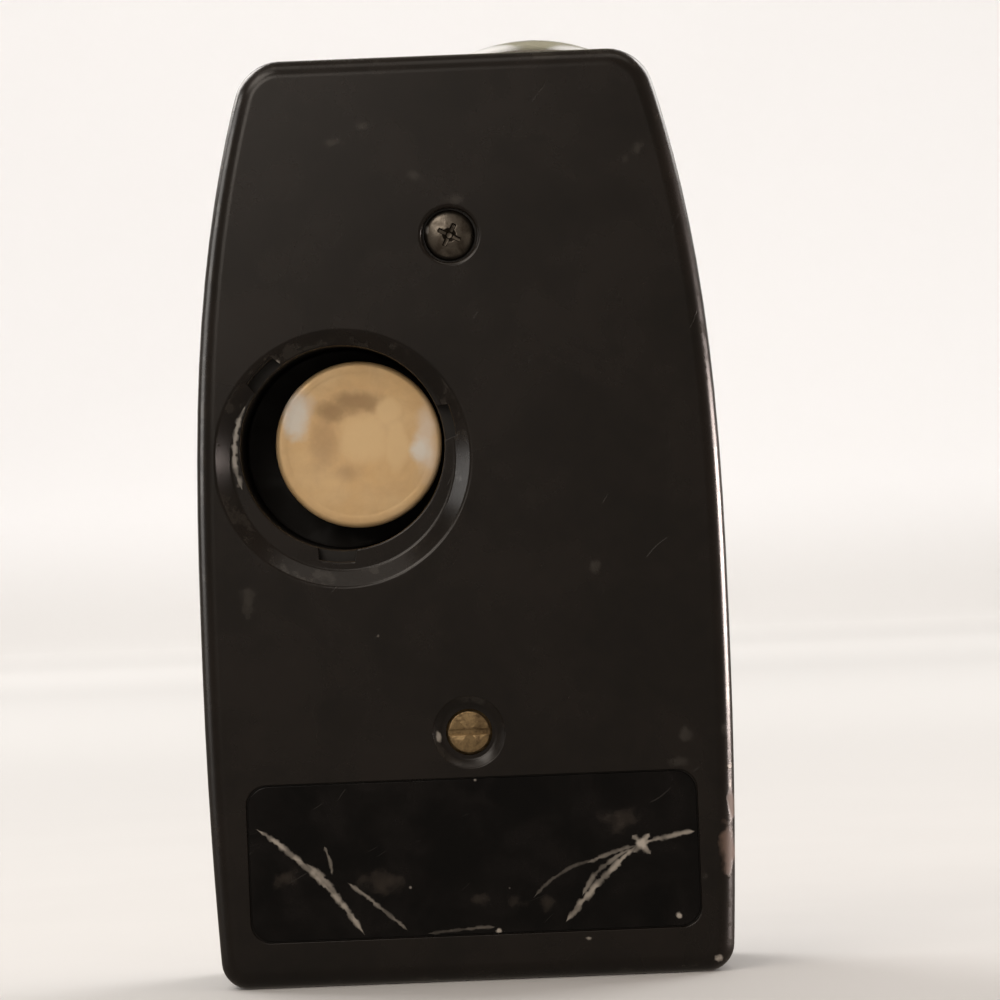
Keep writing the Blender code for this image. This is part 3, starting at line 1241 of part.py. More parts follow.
def make_pointer():
    """The needle, cranked forward past the front bridge, with its balance weight."""
    start_y = (COIL_FRONT_Y + FRONT_BRIDGE_Y) / 2
    clear = BRIDGE_WIDTH / 2 + 4 * POINTER_RADIUS
    over = YOKE_RADIUS + CHASSIS_ARCH_CLEARANCE
    step_y = YOKE_FRONT_Y + 3 * POINTER_RADIUS
    points = [(0, start_y, -POINTER_TAIL), (0, start_y, clear), (0, step_y, clear + step_y - start_y)]
    points += [(0, POINTER_Y, over), (0, POINTER_Y, POINTER_REACH)]
    pointer = wire_solid("pointer", points, POINTER_RADIUS, "pointer_red", resolution=1)
    low_y, high_y = start_y - POINTER_RADIUS, start_y + POINTER_RADIUS
    hub = (0, 0, low_y, high_y, PIVOT_COLLAR_RADIUS + SEAT_GAP + POINTER_HUB_WALL)
    weight = (0, -POINTER_TAIL, low_y, high_y, POINTER_WEIGHT_RADIUS)
    bore = (0, 0, low_y - CUT_OVERRUN, high_y + CUT_OVERRUN, PIVOT_COLLAR_RADIUS + SEAT_GAP)
    hub_tool = posts_solid("pointer_hub", [hub, weight], None)
    bore_tool = posts_solid("pointer_bore", [bore], None)
    combine(pointer, hub_tool, "UNION")
    combine(pointer, bore_tool, "DIFFERENCE")
    for piece in (pointer, hub_tool, bore_tool):
        piece.location = (0, 0, MOVEMENT_HEIGHT)
        piece.rotation_euler = (0, POINTER_LEAN, 0)


def flute_loop(radius, depth, count):
    """A round outline with a ring of shallow finger flutes."""
    loop = []
    for index in range(count):
        for share, reach in ((0, radius), (0.35, radius), (0.5, radius - depth), (0.85, radius - depth)):
            angle = 2 * math.pi * (index + share) / count
            loop.append((reach * math.cos(angle), DIAL_HEIGHT + reach * math.sin(angle)))
    return loop


def make_dial():
    """The calculator: scale plate, knurled ring, film speed disc, washer and centre screw."""
    bore = SPINDLE_RADIUS + RUN_GAP
    hole = circle_loop(0, DIAL_HEIGHT, bore, SMALL_ROUND_STEPS)
    plate = circle_loop(0, DIAL_HEIGHT, DIAL_PLATE_RADIUS, 64)
    plate_end = DIAL_PLATE_Y + DIAL_PLATE_THICKNESS
    flat_solid("dial_plate", [plate, hole], DIAL_PLATE_Y, plate_end, "satin_aluminium")
    washer_y = plate_end + SEAT_GAP
    washer = circle_loop(0, DIAL_HEIGHT, WASHER_RADIUS, 24)
    flat_solid("spring_washer", [washer, hole], washer_y, washer_y + WASHER_THICKNESS, "dark_steel")
    ring_loop = flute_loop(DIAL_RADIUS, RING_FLUTE_DEPTH, RING_FLUTES)
    ring_end = RING_Y + RING_HEIGHT
    ring = flat_solid("exposure_ring", [ring_loop, hole], RING_Y, ring_end, "black_case")
    pocket_radius = DIAL_RADIUS - RING_RIM_WIDTH
    pocket = posts_solid(
        "ring_pocket_cut",
        [(0, DIAL_HEIGHT, RING_Y + RING_FLOOR, ring_end + CUT_OVERRUN, pocket_radius)],
        None,
        48,
    )
    combine(ring, pocket, "DIFFERENCE")
    make_speed_disc(pocket_radius - RUN_GAP, hole)
    make_spindle()


def make_speed_disc(radius, hole):
    """The film speed disc with a finger bar across it and a reading window."""
    end = SPEED_DISC_Y + SPEED_DISC_THICKNESS
    rim = circle_loop(0, DIAL_HEIGHT, radius, 48)
    window_z = DIAL_HEIGHT + radius - SPEED_GRIP_MARGIN - SPEED_WINDOW_HEIGHT / 2
    window = rectangle_loop(0, window_z, SPEED_WINDOW_WIDTH, SPEED_WINDOW_HEIGHT, RUN_GAP)
    disc = flat_solid("film_speed_disc", [rim, hole, window], SPEED_DISC_Y, end, "satin_aluminium")
    inner = SPINDLE_HEAD_RADIUS + 2 * RUN_GAP
    outer = radius - SPEED_GRIP_MARGIN

    def build(body):
        for side in (-1, 1):
            first, last = sorted((side * inner, side * outer))
            low = (first, end - SPEED_DISC_THICKNESS / 2, DIAL_HEIGHT - SPEED_GRIP_WIDTH / 2)
            high = (last, end + SPEED_GRIP_HEIGHT, DIAL_HEIGHT + SPEED_GRIP_WIDTH / 2)
            add_block(body, low, high)
    combine(disc, add_tool("speed_grips", mesh_from("speed_grips", build)), "UNION")


def make_spindle():
    """The slotted screw on which the dial turns."""
    seat = SPEED_DISC_Y + SPEED_DISC_THICKNESS + RUN_GAP
    head = seat + SPINDLE_HEAD_HEIGHT
    end = CASE_INSIDE_Y - SPINDLE_BOSS_HEIGHT
    profile = [
        (0, head),
        (SPINDLE_HEAD_RADIUS - SPINDLE_HEAD_HEIGHT / 2, head),
        (SPINDLE_HEAD_RADIUS, head - SPINDLE_HEAD_HEIGHT / 2),
        (SPINDLE_HEAD_RADIUS, seat),
        (SPINDLE_RADIUS, seat),
        (SPINDLE_RADIUS, end),
        (0, end),
    ]
    screw = turned_solid("dial_screw", profile, (0, 0, DIAL_HEIGHT), FORWARD, "chrome", 24)
    reach = SPINDLE_HEAD_RADIUS + CUT_OVERRUN
    low = (-reach, head - SPINDLE_HEAD_HEIGHT / 2, DIAL_HEIGHT - ZERO_SLOT_WIDTH / 2)
    high = (reach, head + CUT_OVERRUN, DIAL_HEIGHT + ZERO_SLOT_WIDTH / 2)
    slot_mesh = mesh_from("spindle_slot_cut", lambda body: add_block(body, low, high))
    combine(screw, add_tool("spindle_slot_cut", slot_mesh), "DIFFERENCE")


def make_button():
    """The reading button, its collar inside the case and the contact blades behind it."""
    collar_front = CASE_INSIDE_Y - SEAT_GAP
    collar_back = collar_front - BUTTON_COLLAR_THICKNESS
    top = FRONT_Y + SEAT_GAP + FACE_PLATE_THICKNESS + BUTTON_RISE
    round_off = BUTTON_RISE / 4
    profile = [
        (0, top),
        (BUTTON_RADIUS - round_off, top),
        (BUTTON_RADIUS, top - round_off),
        (BUTTON_RADIUS, collar_front),
        (BUTTON_RADIUS + BUTTON_COLLAR, collar_front),
        (BUTTON_RADIUS + BUTTON_COLLAR, collar_back),
        (0, collar_back),
    ]
    turned_solid("reading_button", profile, (CONTROL_X, 0, CONTROL_HEIGHT), FORWARD, "chrome", 24)
    blade_front = collar_back - BUTTON_TRAVEL - SEAT_GAP
    loop = rectangle_loop(CONTROL_X, CONTROL_HEIGHT, BLADE_WIDTH, BLADE_LENGTH, RUN_GAP)
    blade = flat_solid("contact_blade", [loop], blade_front - BLADE_THICKNESS, blade_front, "brass")
    foot_z = CONTROL_HEIGHT - BLADE_LENGTH / 2
    low = (CONTROL_X - BLADE_WIDTH / 2, CHASSIS_FRONT_Y + SEAT_GAP, foot_z)
    high = (CONTROL_X + BLADE_WIDTH / 2, blade_front - BLADE_THICKNESS / 2, foot_z + BLADE_WIDTH)
    foot = add_tool("blade_foot", mesh_from("blade_foot", lambda body: add_block(body, low, high)))
    combine(blade, foot, "UNION")


def make_slider():
    """The range switch: a cap outside, a stem in the slot and a plate inside."""
    plate_front = CASE_INSIDE_Y - RUN_GAP
    plate_back = plate_front - SLIDER_PLATE_THICKNESS
    cap_back = FRONT_Y + SEAT_GAP + FACE_PLATE_THICKNESS + RUN_GAP
    half = SLIDER_STEM_WIDTH / 2 + SLIDER_OVERLAP
    z = CONTROL_HEIGHT

    def build(body):
        low = (-CONTROL_X - half, plate_back, z - SLIDER_STEM_LENGTH / 2 - SLIDER_OVERLAP)
        high = (-CONTROL_X + half, plate_front, z + SLIDER_STEM_LENGTH / 2 + SLIDER_OVERLAP)
        add_block(body, low, high)
    slider = add_piece("range_slider", mesh_from("range_slider", build), "chrome")

    def stem(body):
        low = (-CONTROL_X - SLIDER_STEM_WIDTH / 2, plate_back + RUN_GAP, z - SLIDER_STEM_LENGTH / 2)
        high = (-CONTROL_X + SLIDER_STEM_WIDTH / 2, cap_back + RUN_GAP, z + SLIDER_STEM_LENGTH / 2)
        add_block(body, low, high)

    def cap(body):
        low = (-CONTROL_X - SLIDER_CAP_WIDTH / 2, cap_back, z - SLIDER_STEM_LENGTH / 2)
        high = (-CONTROL_X + SLIDER_CAP_WIDTH / 2, cap_back + SLIDER_CAP_HEIGHT, z + SLIDER_STEM_LENGTH / 2)
        add_block(body, low, high)
    combine(slider, add_tool("slider_stem", mesh_from("slider_stem", stem)), "UNION")
    combine(slider, add_tool("slider_cap", mesh_from("slider_cap", cap)), "UNION")


def make_meter():
    """Every piece of the meter, from the back to the front."""
    make_back_cover()
    make_label_plate()
    make_cover_screw()
    make_front_case()
    make_face_plate()
    make_window()
    make_scale_plate()
    make_chassis()
    make_screws("chassis_screw", chassis_posts(), CHASSIS_BACK_Y, CHASSIS_FRONT_ROOM)
    make_cell()
    make_board()
    make_battery_chamber()
    make_battery()
    make_zero_screw()
    make_zero_lever()
    make_hairspring()
    make_movement_frame()
    make_jewel_screws()
    make_coil()
    make_pointer()
    make_dial()
    make_button()
    make_slider()


clear_scene()
parts = make_collection("light_meter")
cutters = make_collection("cutters")
make_materials()
make_meter()
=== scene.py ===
# %% [markdown]
# # A pocket exposure meter, dressed for its picture
#
# The meter's working parts come ready made as a fixed frame: every piece at its real size, with +Z up and the dial
# side at +Y. This lesson gives them their looks. Shells, dials, screws and the battery are modelled afresh over the
# plain solids, and each surface gets a material with the detail that the real one shows.
#
# The first cell loads the frame and notes its box, because nothing that is modelled here may leave it. Blender counts
# in metres. All sizes of the meter are in millimetres here, and `metres` turns them over where Blender takes them.

import math
from collections import namedtuple

import bmesh
import bpy
from mathutils import Matrix, Vector


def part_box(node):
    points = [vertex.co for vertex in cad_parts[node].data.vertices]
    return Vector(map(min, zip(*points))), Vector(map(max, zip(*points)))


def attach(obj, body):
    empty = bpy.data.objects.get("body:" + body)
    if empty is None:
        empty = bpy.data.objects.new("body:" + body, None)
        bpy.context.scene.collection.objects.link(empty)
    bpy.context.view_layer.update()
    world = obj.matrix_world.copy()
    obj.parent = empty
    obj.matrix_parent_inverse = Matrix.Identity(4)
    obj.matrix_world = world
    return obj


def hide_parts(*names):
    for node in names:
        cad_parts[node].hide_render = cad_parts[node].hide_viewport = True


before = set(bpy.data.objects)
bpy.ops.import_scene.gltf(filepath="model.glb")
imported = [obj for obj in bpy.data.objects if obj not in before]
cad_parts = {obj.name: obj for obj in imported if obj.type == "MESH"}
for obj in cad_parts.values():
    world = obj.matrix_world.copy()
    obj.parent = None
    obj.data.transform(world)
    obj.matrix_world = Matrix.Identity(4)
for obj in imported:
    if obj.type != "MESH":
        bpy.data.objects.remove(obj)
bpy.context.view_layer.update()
MM = 0.001
Corner = namedtuple("Corner", "x y z")


def metres(*sizes):
    """Sizes in millimetres as Blender takes them."""
    return [size * MM for size in sizes]


def box_of(name):
    """The low and the high corner of a solid, in millimetres."""
    return [Corner(*(value / MM for value in corner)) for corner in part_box(name)]


# %% [markdown]
# ## Camera
#
# The picture looks straight at the back of the meter from about half a metre away, and the meter leans a little to
# the left in it. So the camera stands level behind the meter and is rolled, and the lens is chosen so that a
# millimetre on the back is as many pixels as in the picture.

# %% Camera
PICTURE_PIXELS = 1000
PIXELS_PER_MM = 10.8
CAMERA_DISTANCE = 480
CAMERA_ROLL = math.radians(2.3)
SENSOR_WIDTH = 36.0
BODY_CENTRE_PIXEL = (460.5, 517.5)

back_low, back_high = box_of("back_cover")
scene = bpy.context.scene
camera_data = bpy.data.cameras.new("picture_camera")
camera_data.sensor_width = SENSOR_WIDTH
camera_data.lens = SENSOR_WIDTH * CAMERA_DISTANCE / (PICTURE_PIXELS / PIXELS_PER_MM)
camera_data.clip_start = 0.01
camera_data.clip_end = 20
camera = bpy.data.objects.new("picture_camera", camera_data)
scene.collection.objects.link(camera)
scene.camera = camera
across = (PICTURE_PIXELS / 2 - BODY_CENTRE_PIXEL[0]) / PIXELS_PER_MM
along = (BODY_CENTRE_PIXEL[1] - PICTURE_PIXELS / 2) / PIXELS_PER_MM
aim_x = across * math.cos(CAMERA_ROLL) + along * math.sin(CAMERA_ROLL)
aim_z = back_high.z / 2 + along * math.cos(CAMERA_ROLL) - across * math.sin(CAMERA_ROLL)
camera.location = metres(aim_x, back_low.y - CAMERA_DISTANCE, aim_z)
camera.rotation_mode = "QUATERNION"
level = Matrix.Rotation(math.pi / 2, 4, "X")
camera.rotation_quaternion = (level @ Matrix.Rotation(-CAMERA_ROLL, 4, "Z")).to_quaternion()
print("camera looks at", round(aim_x, 1), round(aim_z, 1), "mm")

# %% [markdown]
# ## Floor and light
#
# A plain pale floor runs back into a backdrop with one soft bend. The bend starts as a strip whose far edge is drawn
# out and lifted in small steps. The floor is kept out of mirror reflections, as a dark card would do, or the glossy
# black face turns grey. A grey card high before the backdrop gives the bright bezel its duller middle.
#
# The light is soft: a large one at the upper left, a wide one overhead, one that grazes the left edge, and two for
# the dial side. A narrow one at the right draws the bright line down the meter's side and the glints in its hollows.
# The studio's own sizes are in metres.


# %% Editing helpers
def nothing_selected():
    """Leaves edit mode and deselects everything, because an operator works on all that is selected."""
    if bpy.context.object and bpy.context.object.mode != "OBJECT":
        bpy.ops.object.mode_set(mode="OBJECT")
    bpy.ops.object.select_all(action="DESELECT")


def take(piece):
    """Makes a piece the only selected one and the active one."""
    nothing_selected()
    bpy.context.view_layer.objects.active = piece
    piece.select_set(True)


def put_down(piece):
    """Moves a piece's place and turn into its mesh, so that its object sits at the origin."""
    take(piece)
    bpy.ops.object.transform_apply(location=True, rotation=True, scale=True)


def start_editing(piece, mode="VERT"):
    """Opens a piece for editing."""
    take(piece)
    bpy.ops.object.mode_set(mode="EDIT")
    bpy.ops.mesh.select_mode(type=mode)


def stop_editing(closed=False):
    """Back to object mode. A mesh that closes gets all its faces turned outwards first."""
    if closed:
        bpy.ops.mesh.select_all(action="SELECT")
        bpy.ops.mesh.normals_make_consistent(inside=False)
    bpy.ops.object.mode_set(mode="OBJECT")


def choose(piece, kind, wanted):
    """Selects the points, edges or faces of a piece that pass a test."""
    bpy.ops.mesh.select_mode(type={"verts": "VERT", "edges": "EDGE", "faces": "FACE"}[kind])
    bpy.ops.mesh.select_all(action="DESELECT")
    shape = bmesh.from_edit_mesh(piece.data)
    for part in getattr(shape, kind):
        part.select = bool(wanted(part))
    shape.select_flush_mode()
    bmesh.update_edit_mesh(piece.data)


def draw_out(step, scale=None, centre=None):
    """Extrudes what is selected by a step, and can scale the new end about a centre."""
    bpy.ops.mesh.extrude_region_move(TRANSFORM_OT_translate={"value": step})
    if scale:
        bpy.ops.transform.resize(value=scale, center_override=centre)


def flat_sheet(name, place, width, height, turn=0.0):
    """A plane at its place and real size in metres, tipped up by a turn about X."""
    nothing_selected()
    bpy.ops.mesh.primitive_plane_add(size=1, location=place, rotation=(turn, 0, 0))
    sheet = bpy.context.object
    sheet.name = name
    sheet.scale = (width, height, 1)
    put_down(sheet)
    return sheet


print("editing helpers ready")

# %% Floor
FLOOR_SIZE = 2.4
STRIP = 0.02
BEND_STEPS = 16
BEND_RADIUS = 0.5
WALL_RISE = 1.2
floor = flat_sheet("studio_floor", (0, 0, 0), FLOOR_SIZE, FLOOR_SIZE)
floor.visible_glossy = False
backdrop = flat_sheet("studio_backdrop", (0, FLOOR_SIZE / 2 + STRIP / 2, 0), FLOOR_SIZE, STRIP)
start_editing(backdrop, "EDGE")
choose(backdrop, "edges", lambda edge: all(point.co.y > FLOOR_SIZE / 2 + STRIP * 0.9 for point in edge.verts))
for step in range(BEND_STEPS):
    angle = math.pi / 2 * (step + 0.5) / BEND_STEPS
    reach = 2 * BEND_RADIUS * math.sin(math.pi / 4 / BEND_STEPS)
    draw_out((0, reach * math.cos(angle), reach * math.sin(angle)))
draw_out((0, 0, WALL_RISE))
stop_editing(closed=True)
bpy.ops.object.shade_smooth()
grey_card = flat_sheet("studio_grey_card", (0.058, 1.6, 1.15), 0.245, 1.2, math.pi / 2)
print("floor is", FLOOR_SIZE, "m wide")

# %% Lights
WARM_WHITE = (1.0, 0.90, 0.80)
SOFT_WHITE = (1.0, 0.96, 0.92)
ROSE_WHITE = (1.0, 0.84, 0.78)
METER_MIDDLE = (0, 0, back_high.z / 2 * MM)


def soft_light(name, place, width, height, power, colour, target=METER_MIDDLE):
    """An area light that looks at a point."""
    data = bpy.data.lights.new(name, "AREA")
    data.shape = "RECTANGLE"
    data.size, data.size_y = width, height
    data.energy, data.color = power, colour
    light = bpy.data.objects.new(name, data)
    scene.collection.objects.link(light)
    light.location = place
    light.rotation_mode = "QUATERNION"
    light.rotation_quaternion = (Vector(target) - Vector(place)).to_track_quat("-Z", "Y")
    return light


soft_light("key_upper_left", (-0.45, -0.60, 0.70), 0.45, 0.45, 2.0, WARM_WHITE)
soft_light("face_glow", (-0.16, -0.58, 0.24), 0.22, 0.22, 0.48, WARM_WHITE)
soft_light("left_edge", (-0.85, 0.02, 0.22), 0.40, 0.40, 1.6, SOFT_WHITE)
soft_light("right_edge", (0.66, 0.09, 0.04), 0.32, 0.08, 4.0, ROSE_WHITE, (0, 0, 0.04))
soft_light("above_front", (0.0, -0.25, 0.95), 1.2, 0.4, 1.0, WARM_WHITE)
overhead = soft_light("overhead", (0.0, 0.35, 1.3), 0.9, 0.9, 3.0, SOFT_WHITE, (0, 0, 0))
wash = soft_light("backdrop_wash", (0, 0.75, 1.25), 1.2, 0.5, 13, SOFT_WHITE, (0, 1.7, 0.35))
overhead.visible_glossy = wash.visible_glossy = False
soft_light("dial_side_left", (-0.6, 0.65, 0.6), 0.6, 0.6, 6.5, SOFT_WHITE)
soft_light("dial_side_right", (0.6, 0.6, 0.5), 0.5, 0.5, 4.5, SOFT_WHITE)

world = bpy.data.worlds.new("studio")
scene.world = world
world.use_nodes = True
world_nodes, world_links = world.node_tree.nodes, world.node_tree.links
tone = world_nodes.new("ShaderNodeMix")
tone.data_type = "RGBA"
tone.inputs["A"].default_value = (0.175, 0.150, 0.125, 1)
tone.inputs["B"].default_value = (0.84, 0.835, 0.82, 1)
world_links.new(world_nodes.new("ShaderNodeLightPath").outputs["Is Camera Ray"], tone.inputs["Factor"])
world_links.new(tone.outputs["Result"], world_nodes["Background"].inputs["Color"])
world_nodes["Background"].inputs["Strength"].default_value = 1.0
scene.view_settings.view_transform = "Standard"

# %% [markdown]
# ## Bench tools
#
# Most pieces are made in one of two ways. A round piece starts as a disc that is drawn out ring by ring, as on a
# lathe. A flat one starts as a plane with its corners rounded, drawn up layer by layer. These cells hold the few
# helpers that all pieces share.


# %% Finishing a mesh
def apply_modifier(piece, kind, **settings):
    """Adds a modifier with its settings and applies it."""
    take(piece)
    modifier = piece.modifiers.new(kind.lower(), kind)
    for key, value in settings.items():
        setattr(modifier, key, value)
    bpy.ops.object.modifier_apply(modifier=modifier.name)


def cut(piece, *tools, operation="DIFFERENCE"):
    """Cuts each tool out of a piece, or joins it on, and removes the tool."""
    for tool in tools:
        apply_modifier(piece, "BOOLEAN", operation=operation, object=tool, solver="EXACT")
        bpy.data.objects.remove(tool, do_unlink=True)


def soften_edges(piece, width, degrees=50):
    """A small round on every sharp edge."""
    apply_modifier(
        piece, "BEVEL", width=width * MM, segments=2, limit_method="ANGLE",
        angle_limit=math.radians(degrees), use_clamp_overlap=True,
    )


def hand_over(piece, solid, body="meter_body", degrees=32):
    """Smooths a finished piece but for its sharp edges, hides the solid that it stands for, and says what it rides
    on.
    """
    take(piece)
    bpy.ops.object.shade_smooth_by_angle(angle=math.radians(degrees))
    apply_modifier(piece, "WEIGHTED_NORMAL", keep_sharp=True, mode="FACE_AREA")
    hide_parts(solid)
    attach(piece, body)


print("finishing helpers ready")

# %% Turning a round piece
BACKWARD = (math.pi / 2, 0, 0)
FORWARD = (-math.pi / 2, 0, 0)
UPWARD = (0, 0, 0)


def turned(name, rings, place, facing, sides=96, ring_shaped=False):
    """Draws a disc out ring by ring. Rings hold radius and height, from the middle of its face outwards and down."""
    nothing_selected()
    rings = [metres(*ring) for ring in rings]
    radius, height = rings[0]
    fill = "NOTHING" if ring_shaped else "NGON"
    bpy.ops.mesh.primitive_circle_add(vertices=sides, radius=radius, fill_type=fill, location=(0, 0, height))
    piece = bpy.context.object
    piece.name = name
    put_down(piece)
    start_editing(piece, "EDGE" if ring_shaped else "FACE")
    bpy.ops.mesh.select_all(action="SELECT")
    for next_radius, next_height in rings[1:] + (rings[:1] if ring_shaped else []):
        scale = next_radius / radius
        draw_out((0, 0, next_height - height), (scale, scale, 1), (0, 0, next_height))
        radius, height = next_radius, next_height
    if ring_shaped:
        bpy.ops.mesh.select_all(action="SELECT")
        bpy.ops.mesh.remove_doubles(threshold=0.001 * MM)
    stop_editing(closed=True)
    piece.rotation_euler = facing
    piece.location = metres(*place)
    put_down(piece)
    return piece


def tube(name, bore, radius, low, high, place, facing, sides):
    """A plain turned ring between two heights."""
    rings = [(bore, low), (bore, high), (radius, high), (radius, low)]
    return turned(name, rings, place, facing, sides, ring_shaped=True)


def rod(name, radius, high, low, place, facing, sides):
    """A plain turned rod between two heights."""
    return turned(name, [(radius, high), (radius, low)], place, facing, sides)


def quarter_round(radius, size, steps=5):
    """Rings of a rounded corner that turns from a flat face down into an upright side."""
    angles = [math.pi / 2 * step / steps for step in range(steps + 1)]
    return [(radius - size + size * math.sin(angle), -size + size * math.cos(angle)) for angle in angles]


print("turning helpers ready")


# %% Blocks and slabs
def box_block(name, low, high):
    """A block between two corners, started as a cube."""
    nothing_selected()
    low, high = Vector(metres(*low)), Vector(metres(*high))
    bpy.ops.mesh.primitive_cube_add(size=1, location=(low + high) / 2, scale=high - low)
    piece = bpy.context.object
    piece.name = name
    put_down(piece)
    return piece


def slab(name, x, z, width, height, corner, layers, segments=10):
    """A flat piece with round corners, drawn through layers of y and growth from first to last."""
    nothing_selected()
    y, grow = layers[0]
    bpy.ops.mesh.primitive_plane_add(size=1, location=metres(x, y, z), rotation=(math.pi / 2, 0, 0))
    piece = bpy.context.object
    piece.name = name
    piece.scale = (*metres(width + 2 * grow, height + 2 * grow), 1)
    put_down(piece)
    start_editing(piece)
    bpy.ops.mesh.select_all(action="SELECT")
    bpy.ops.mesh.bevel(offset=corner * MM, segments=segments, affect="VERTICES", clamp_overlap=False)
    bpy.ops.mesh.select_mode(type="FACE")
    bpy.ops.mesh.select_all(action="SELECT")
    for next_y, next_grow in layers[1:]:
        scale_x = (width + 2 * next_grow) / (width + 2 * grow)
        scale_z = (height + 2 * next_grow) / (height + 2 * grow)
        draw_out(metres(0, next_y - y, 0), (scale_x, 1, scale_z), metres(x, next_y, z))
        y, grow = next_y, next_grow
    stop_editing(closed=True)
    return piece


print("block helpers ready")

# %% [markdown]
# ## The casing's outline
#
# Seen from behind, the casing is widest a third of the way up. Above that its sides draw in on a slow curve, and
# below it they draw in a little. Both shells share this outline, so it is one small function of the height.

# %% Outline of the casing
WIDEST = 24.55
WIDEST_HEIGHT = 29.0
BASE_DRAW_IN = 0.85
TOP_DRAW_IN = 6.15
BASE_CORNER = 2.8
TOP_CORNER = 3.6
EDGE_ROUND = 1.7
WALL = 1.4
DRAFT = 1.3
CORNER_SHARE = 0.86
SHELL_ROWS = (4, 7, 10, 14, 19, 24, 29, 34, 39, 44, 49, 54, 58, 62, 66, 69.5, 73, 76, 79, 81.5)
PARTING_Y, FRONT_Y, BODY_TOP = box_of("front_case")[0].y, box_of("front_case")[1].y, box_of("front_case")[1].z
BACK_Y = back_low.y
LIP_GAP = 0.2
FACING = 0.999


def half_width(height):
    """The casing's half width at a height."""
    if height > WIDEST_HEIGHT:
        rise = (height - WIDEST_HEIGHT) / (BODY_TOP - WIDEST_HEIGHT)
        return WIDEST - TOP_DRAW_IN * rise ** 3
    drop = (WIDEST_HEIGHT - height) / WIDEST_HEIGHT
    return WIDEST - BASE_DRAW_IN * drop ** 2


def near(value, wanted, slack=0.01):
    """True if a value from a mesh, in metres, is a wanted one in millimetres."""
    return abs(value / MM - wanted) < slack


def outlined_block(name, rows, insets, corners):
    """A block with the casing's outline. Insets hold each side's y and how much narrower it is there."""
    low_y, high_y = sorted(y for y, inset in insets)
    piece = box_block(name, (-WIDEST, low_y, rows[0]), (WIDEST, high_y, rows[-1]))
    start_editing(piece, "FACE")
    for height in rows[1:-1]:
        bpy.ops.mesh.select_all(action="SELECT")
        bpy.ops.mesh.bisect(plane_co=metres(0, 0, height), plane_no=(0, 0, 1))
    for height in rows:
        for y, inset in insets:
            choose(piece, "verts", lambda point: near(point.co.z, height) and near(point.co.y, y))
            share = (half_width(height) - inset) / WIDEST
            bpy.ops.transform.resize(value=(share, 1, 1), center_override=metres(0, y, height))
    for height, corner in ((rows[0], corners[0]), (rows[-1], corners[1])):
        choose(piece, "edges", lambda edge: is_corner_edge(edge, height))
        bpy.ops.mesh.bevel(offset=corner * MM, segments=8, affect="EDGES", clamp_overlap=False)
    return piece


def is_corner_edge(edge, height):
    """True for an edge of the block that runs from front to back at a height."""
    first, second = (point.co for point in edge.verts)
    return near(first.z, height) and near(second.z, height) and not near(first.y - second.y, 0, 0.2)


print("casing is", round(2 * WIDEST, 1), "by", round(BODY_TOP, 1), "mm")

# %% [markdown]
# A shell could be cut out of a solid block, but its wall would then be uneven at the rounded edges. It is easier to
# shape only the outside: cut a block at many heights, draw each row of points in to the outline, round the corners
# and the rim, open the lip, and let Solidify add an even wall. The front shell's sides also lean in towards its
# face, as a moulded part's do, so that it comes out of its mould.


# %% A moulded shell
def borders_face(edge, outwards):
    """True for an edge between the flat face and a side."""
    flat = [face.normal.y * outwards > FACING for face in edge.link_faces]
    return len(flat) == 2 and flat[0] != flat[1]


def moulded_shell(name, face_y, lip_y, draft):
    """A tray with the casing's outline, round edges and an even wall.

    Its corners are wider than square, so their bevels are a little narrower than the round that they make.
    """
    corners = (BASE_CORNER * CORNER_SHARE, TOP_CORNER * CORNER_SHARE)
    piece = outlined_block(name, [0, *SHELL_ROWS, BODY_TOP], ((lip_y, 0), (face_y, draft)), corners)
    outwards = 1 if face_y > lip_y else -1
    choose(piece, "faces", lambda face: face.normal.y * outwards > FACING)
    bpy.ops.mesh.dissolve_faces()
    choose(piece, "edges", lambda edge: borders_face(edge, outwards))
    bpy.ops.mesh.bevel(offset=EDGE_ROUND * MM, segments=7, affect="EDGES", clamp_overlap=False)
    choose(piece, "faces", lambda face: face.normal.y * outwards < -FACING)
    bpy.ops.mesh.delete(type="FACE")
    stop_editing()
    apply_modifier(piece, "SOLIDIFY", thickness=WALL * MM, offset=-1, use_even_offset=True)
    return piece


back_cover = moulded_shell("back_cover_shell", BACK_Y, PARTING_Y - LIP_GAP, 0)
front_case = moulded_shell("front_case_shell", FRONT_Y, PARTING_Y, DRAFT)
print("shells have", len(back_cover.data.polygons), "and", len(front_case.data.polygons), "faces")

# %% [markdown]
# ## Openings in the back
#
# Everything that opens the cover is turned: the seat of the battery lid with its sloping side, the well with three
# notches for the lid's lugs, the seat of the screw and the dish round the zero adjuster. Each cutter flares out a
# little where it leaves the face. That leaves a small round lip, which catches the light as a moulded edge does.

# %% Places on the back
WELL_X = -10.7
WELL_Z = 49.895
RECESS_Z = 48.895
WELL_RADIUS = 9.5
RECESS_RADIUS = 11.8
RECESS_DEPTH = 1.3
RECESS_LIP = 0.28
RECESS_SLOPE = math.radians(42)
RECESS_BEND = 0.5
MOUTH_LIP = 0.16
MOUTH_DEPTH = 4
NOTCH_DEPTH = 1.1
NOTCH_WIDTH = 3.2
NOTCH_ANGLES = (135, 265, 12)
SCREW_Z = 69.195
SEAT_RADIUS = 2.55
SEAT_LIP = 0.37
SEAT_DEPTH = 1.1
SCREW_HOLE_RADIUS = 1.45
SCREW_HOLE_DEPTH = 7
ZERO_Z = 23.1
DISH_RADIUS = 3.3
DISH_LIP = 0.12
ZERO_HOLE_RADIUS = 2.15
ZERO_HOLE_DEPTH = 3
OVERRUN = 1.0
print("battery well is", 2 * WELL_RADIUS, "mm wide")


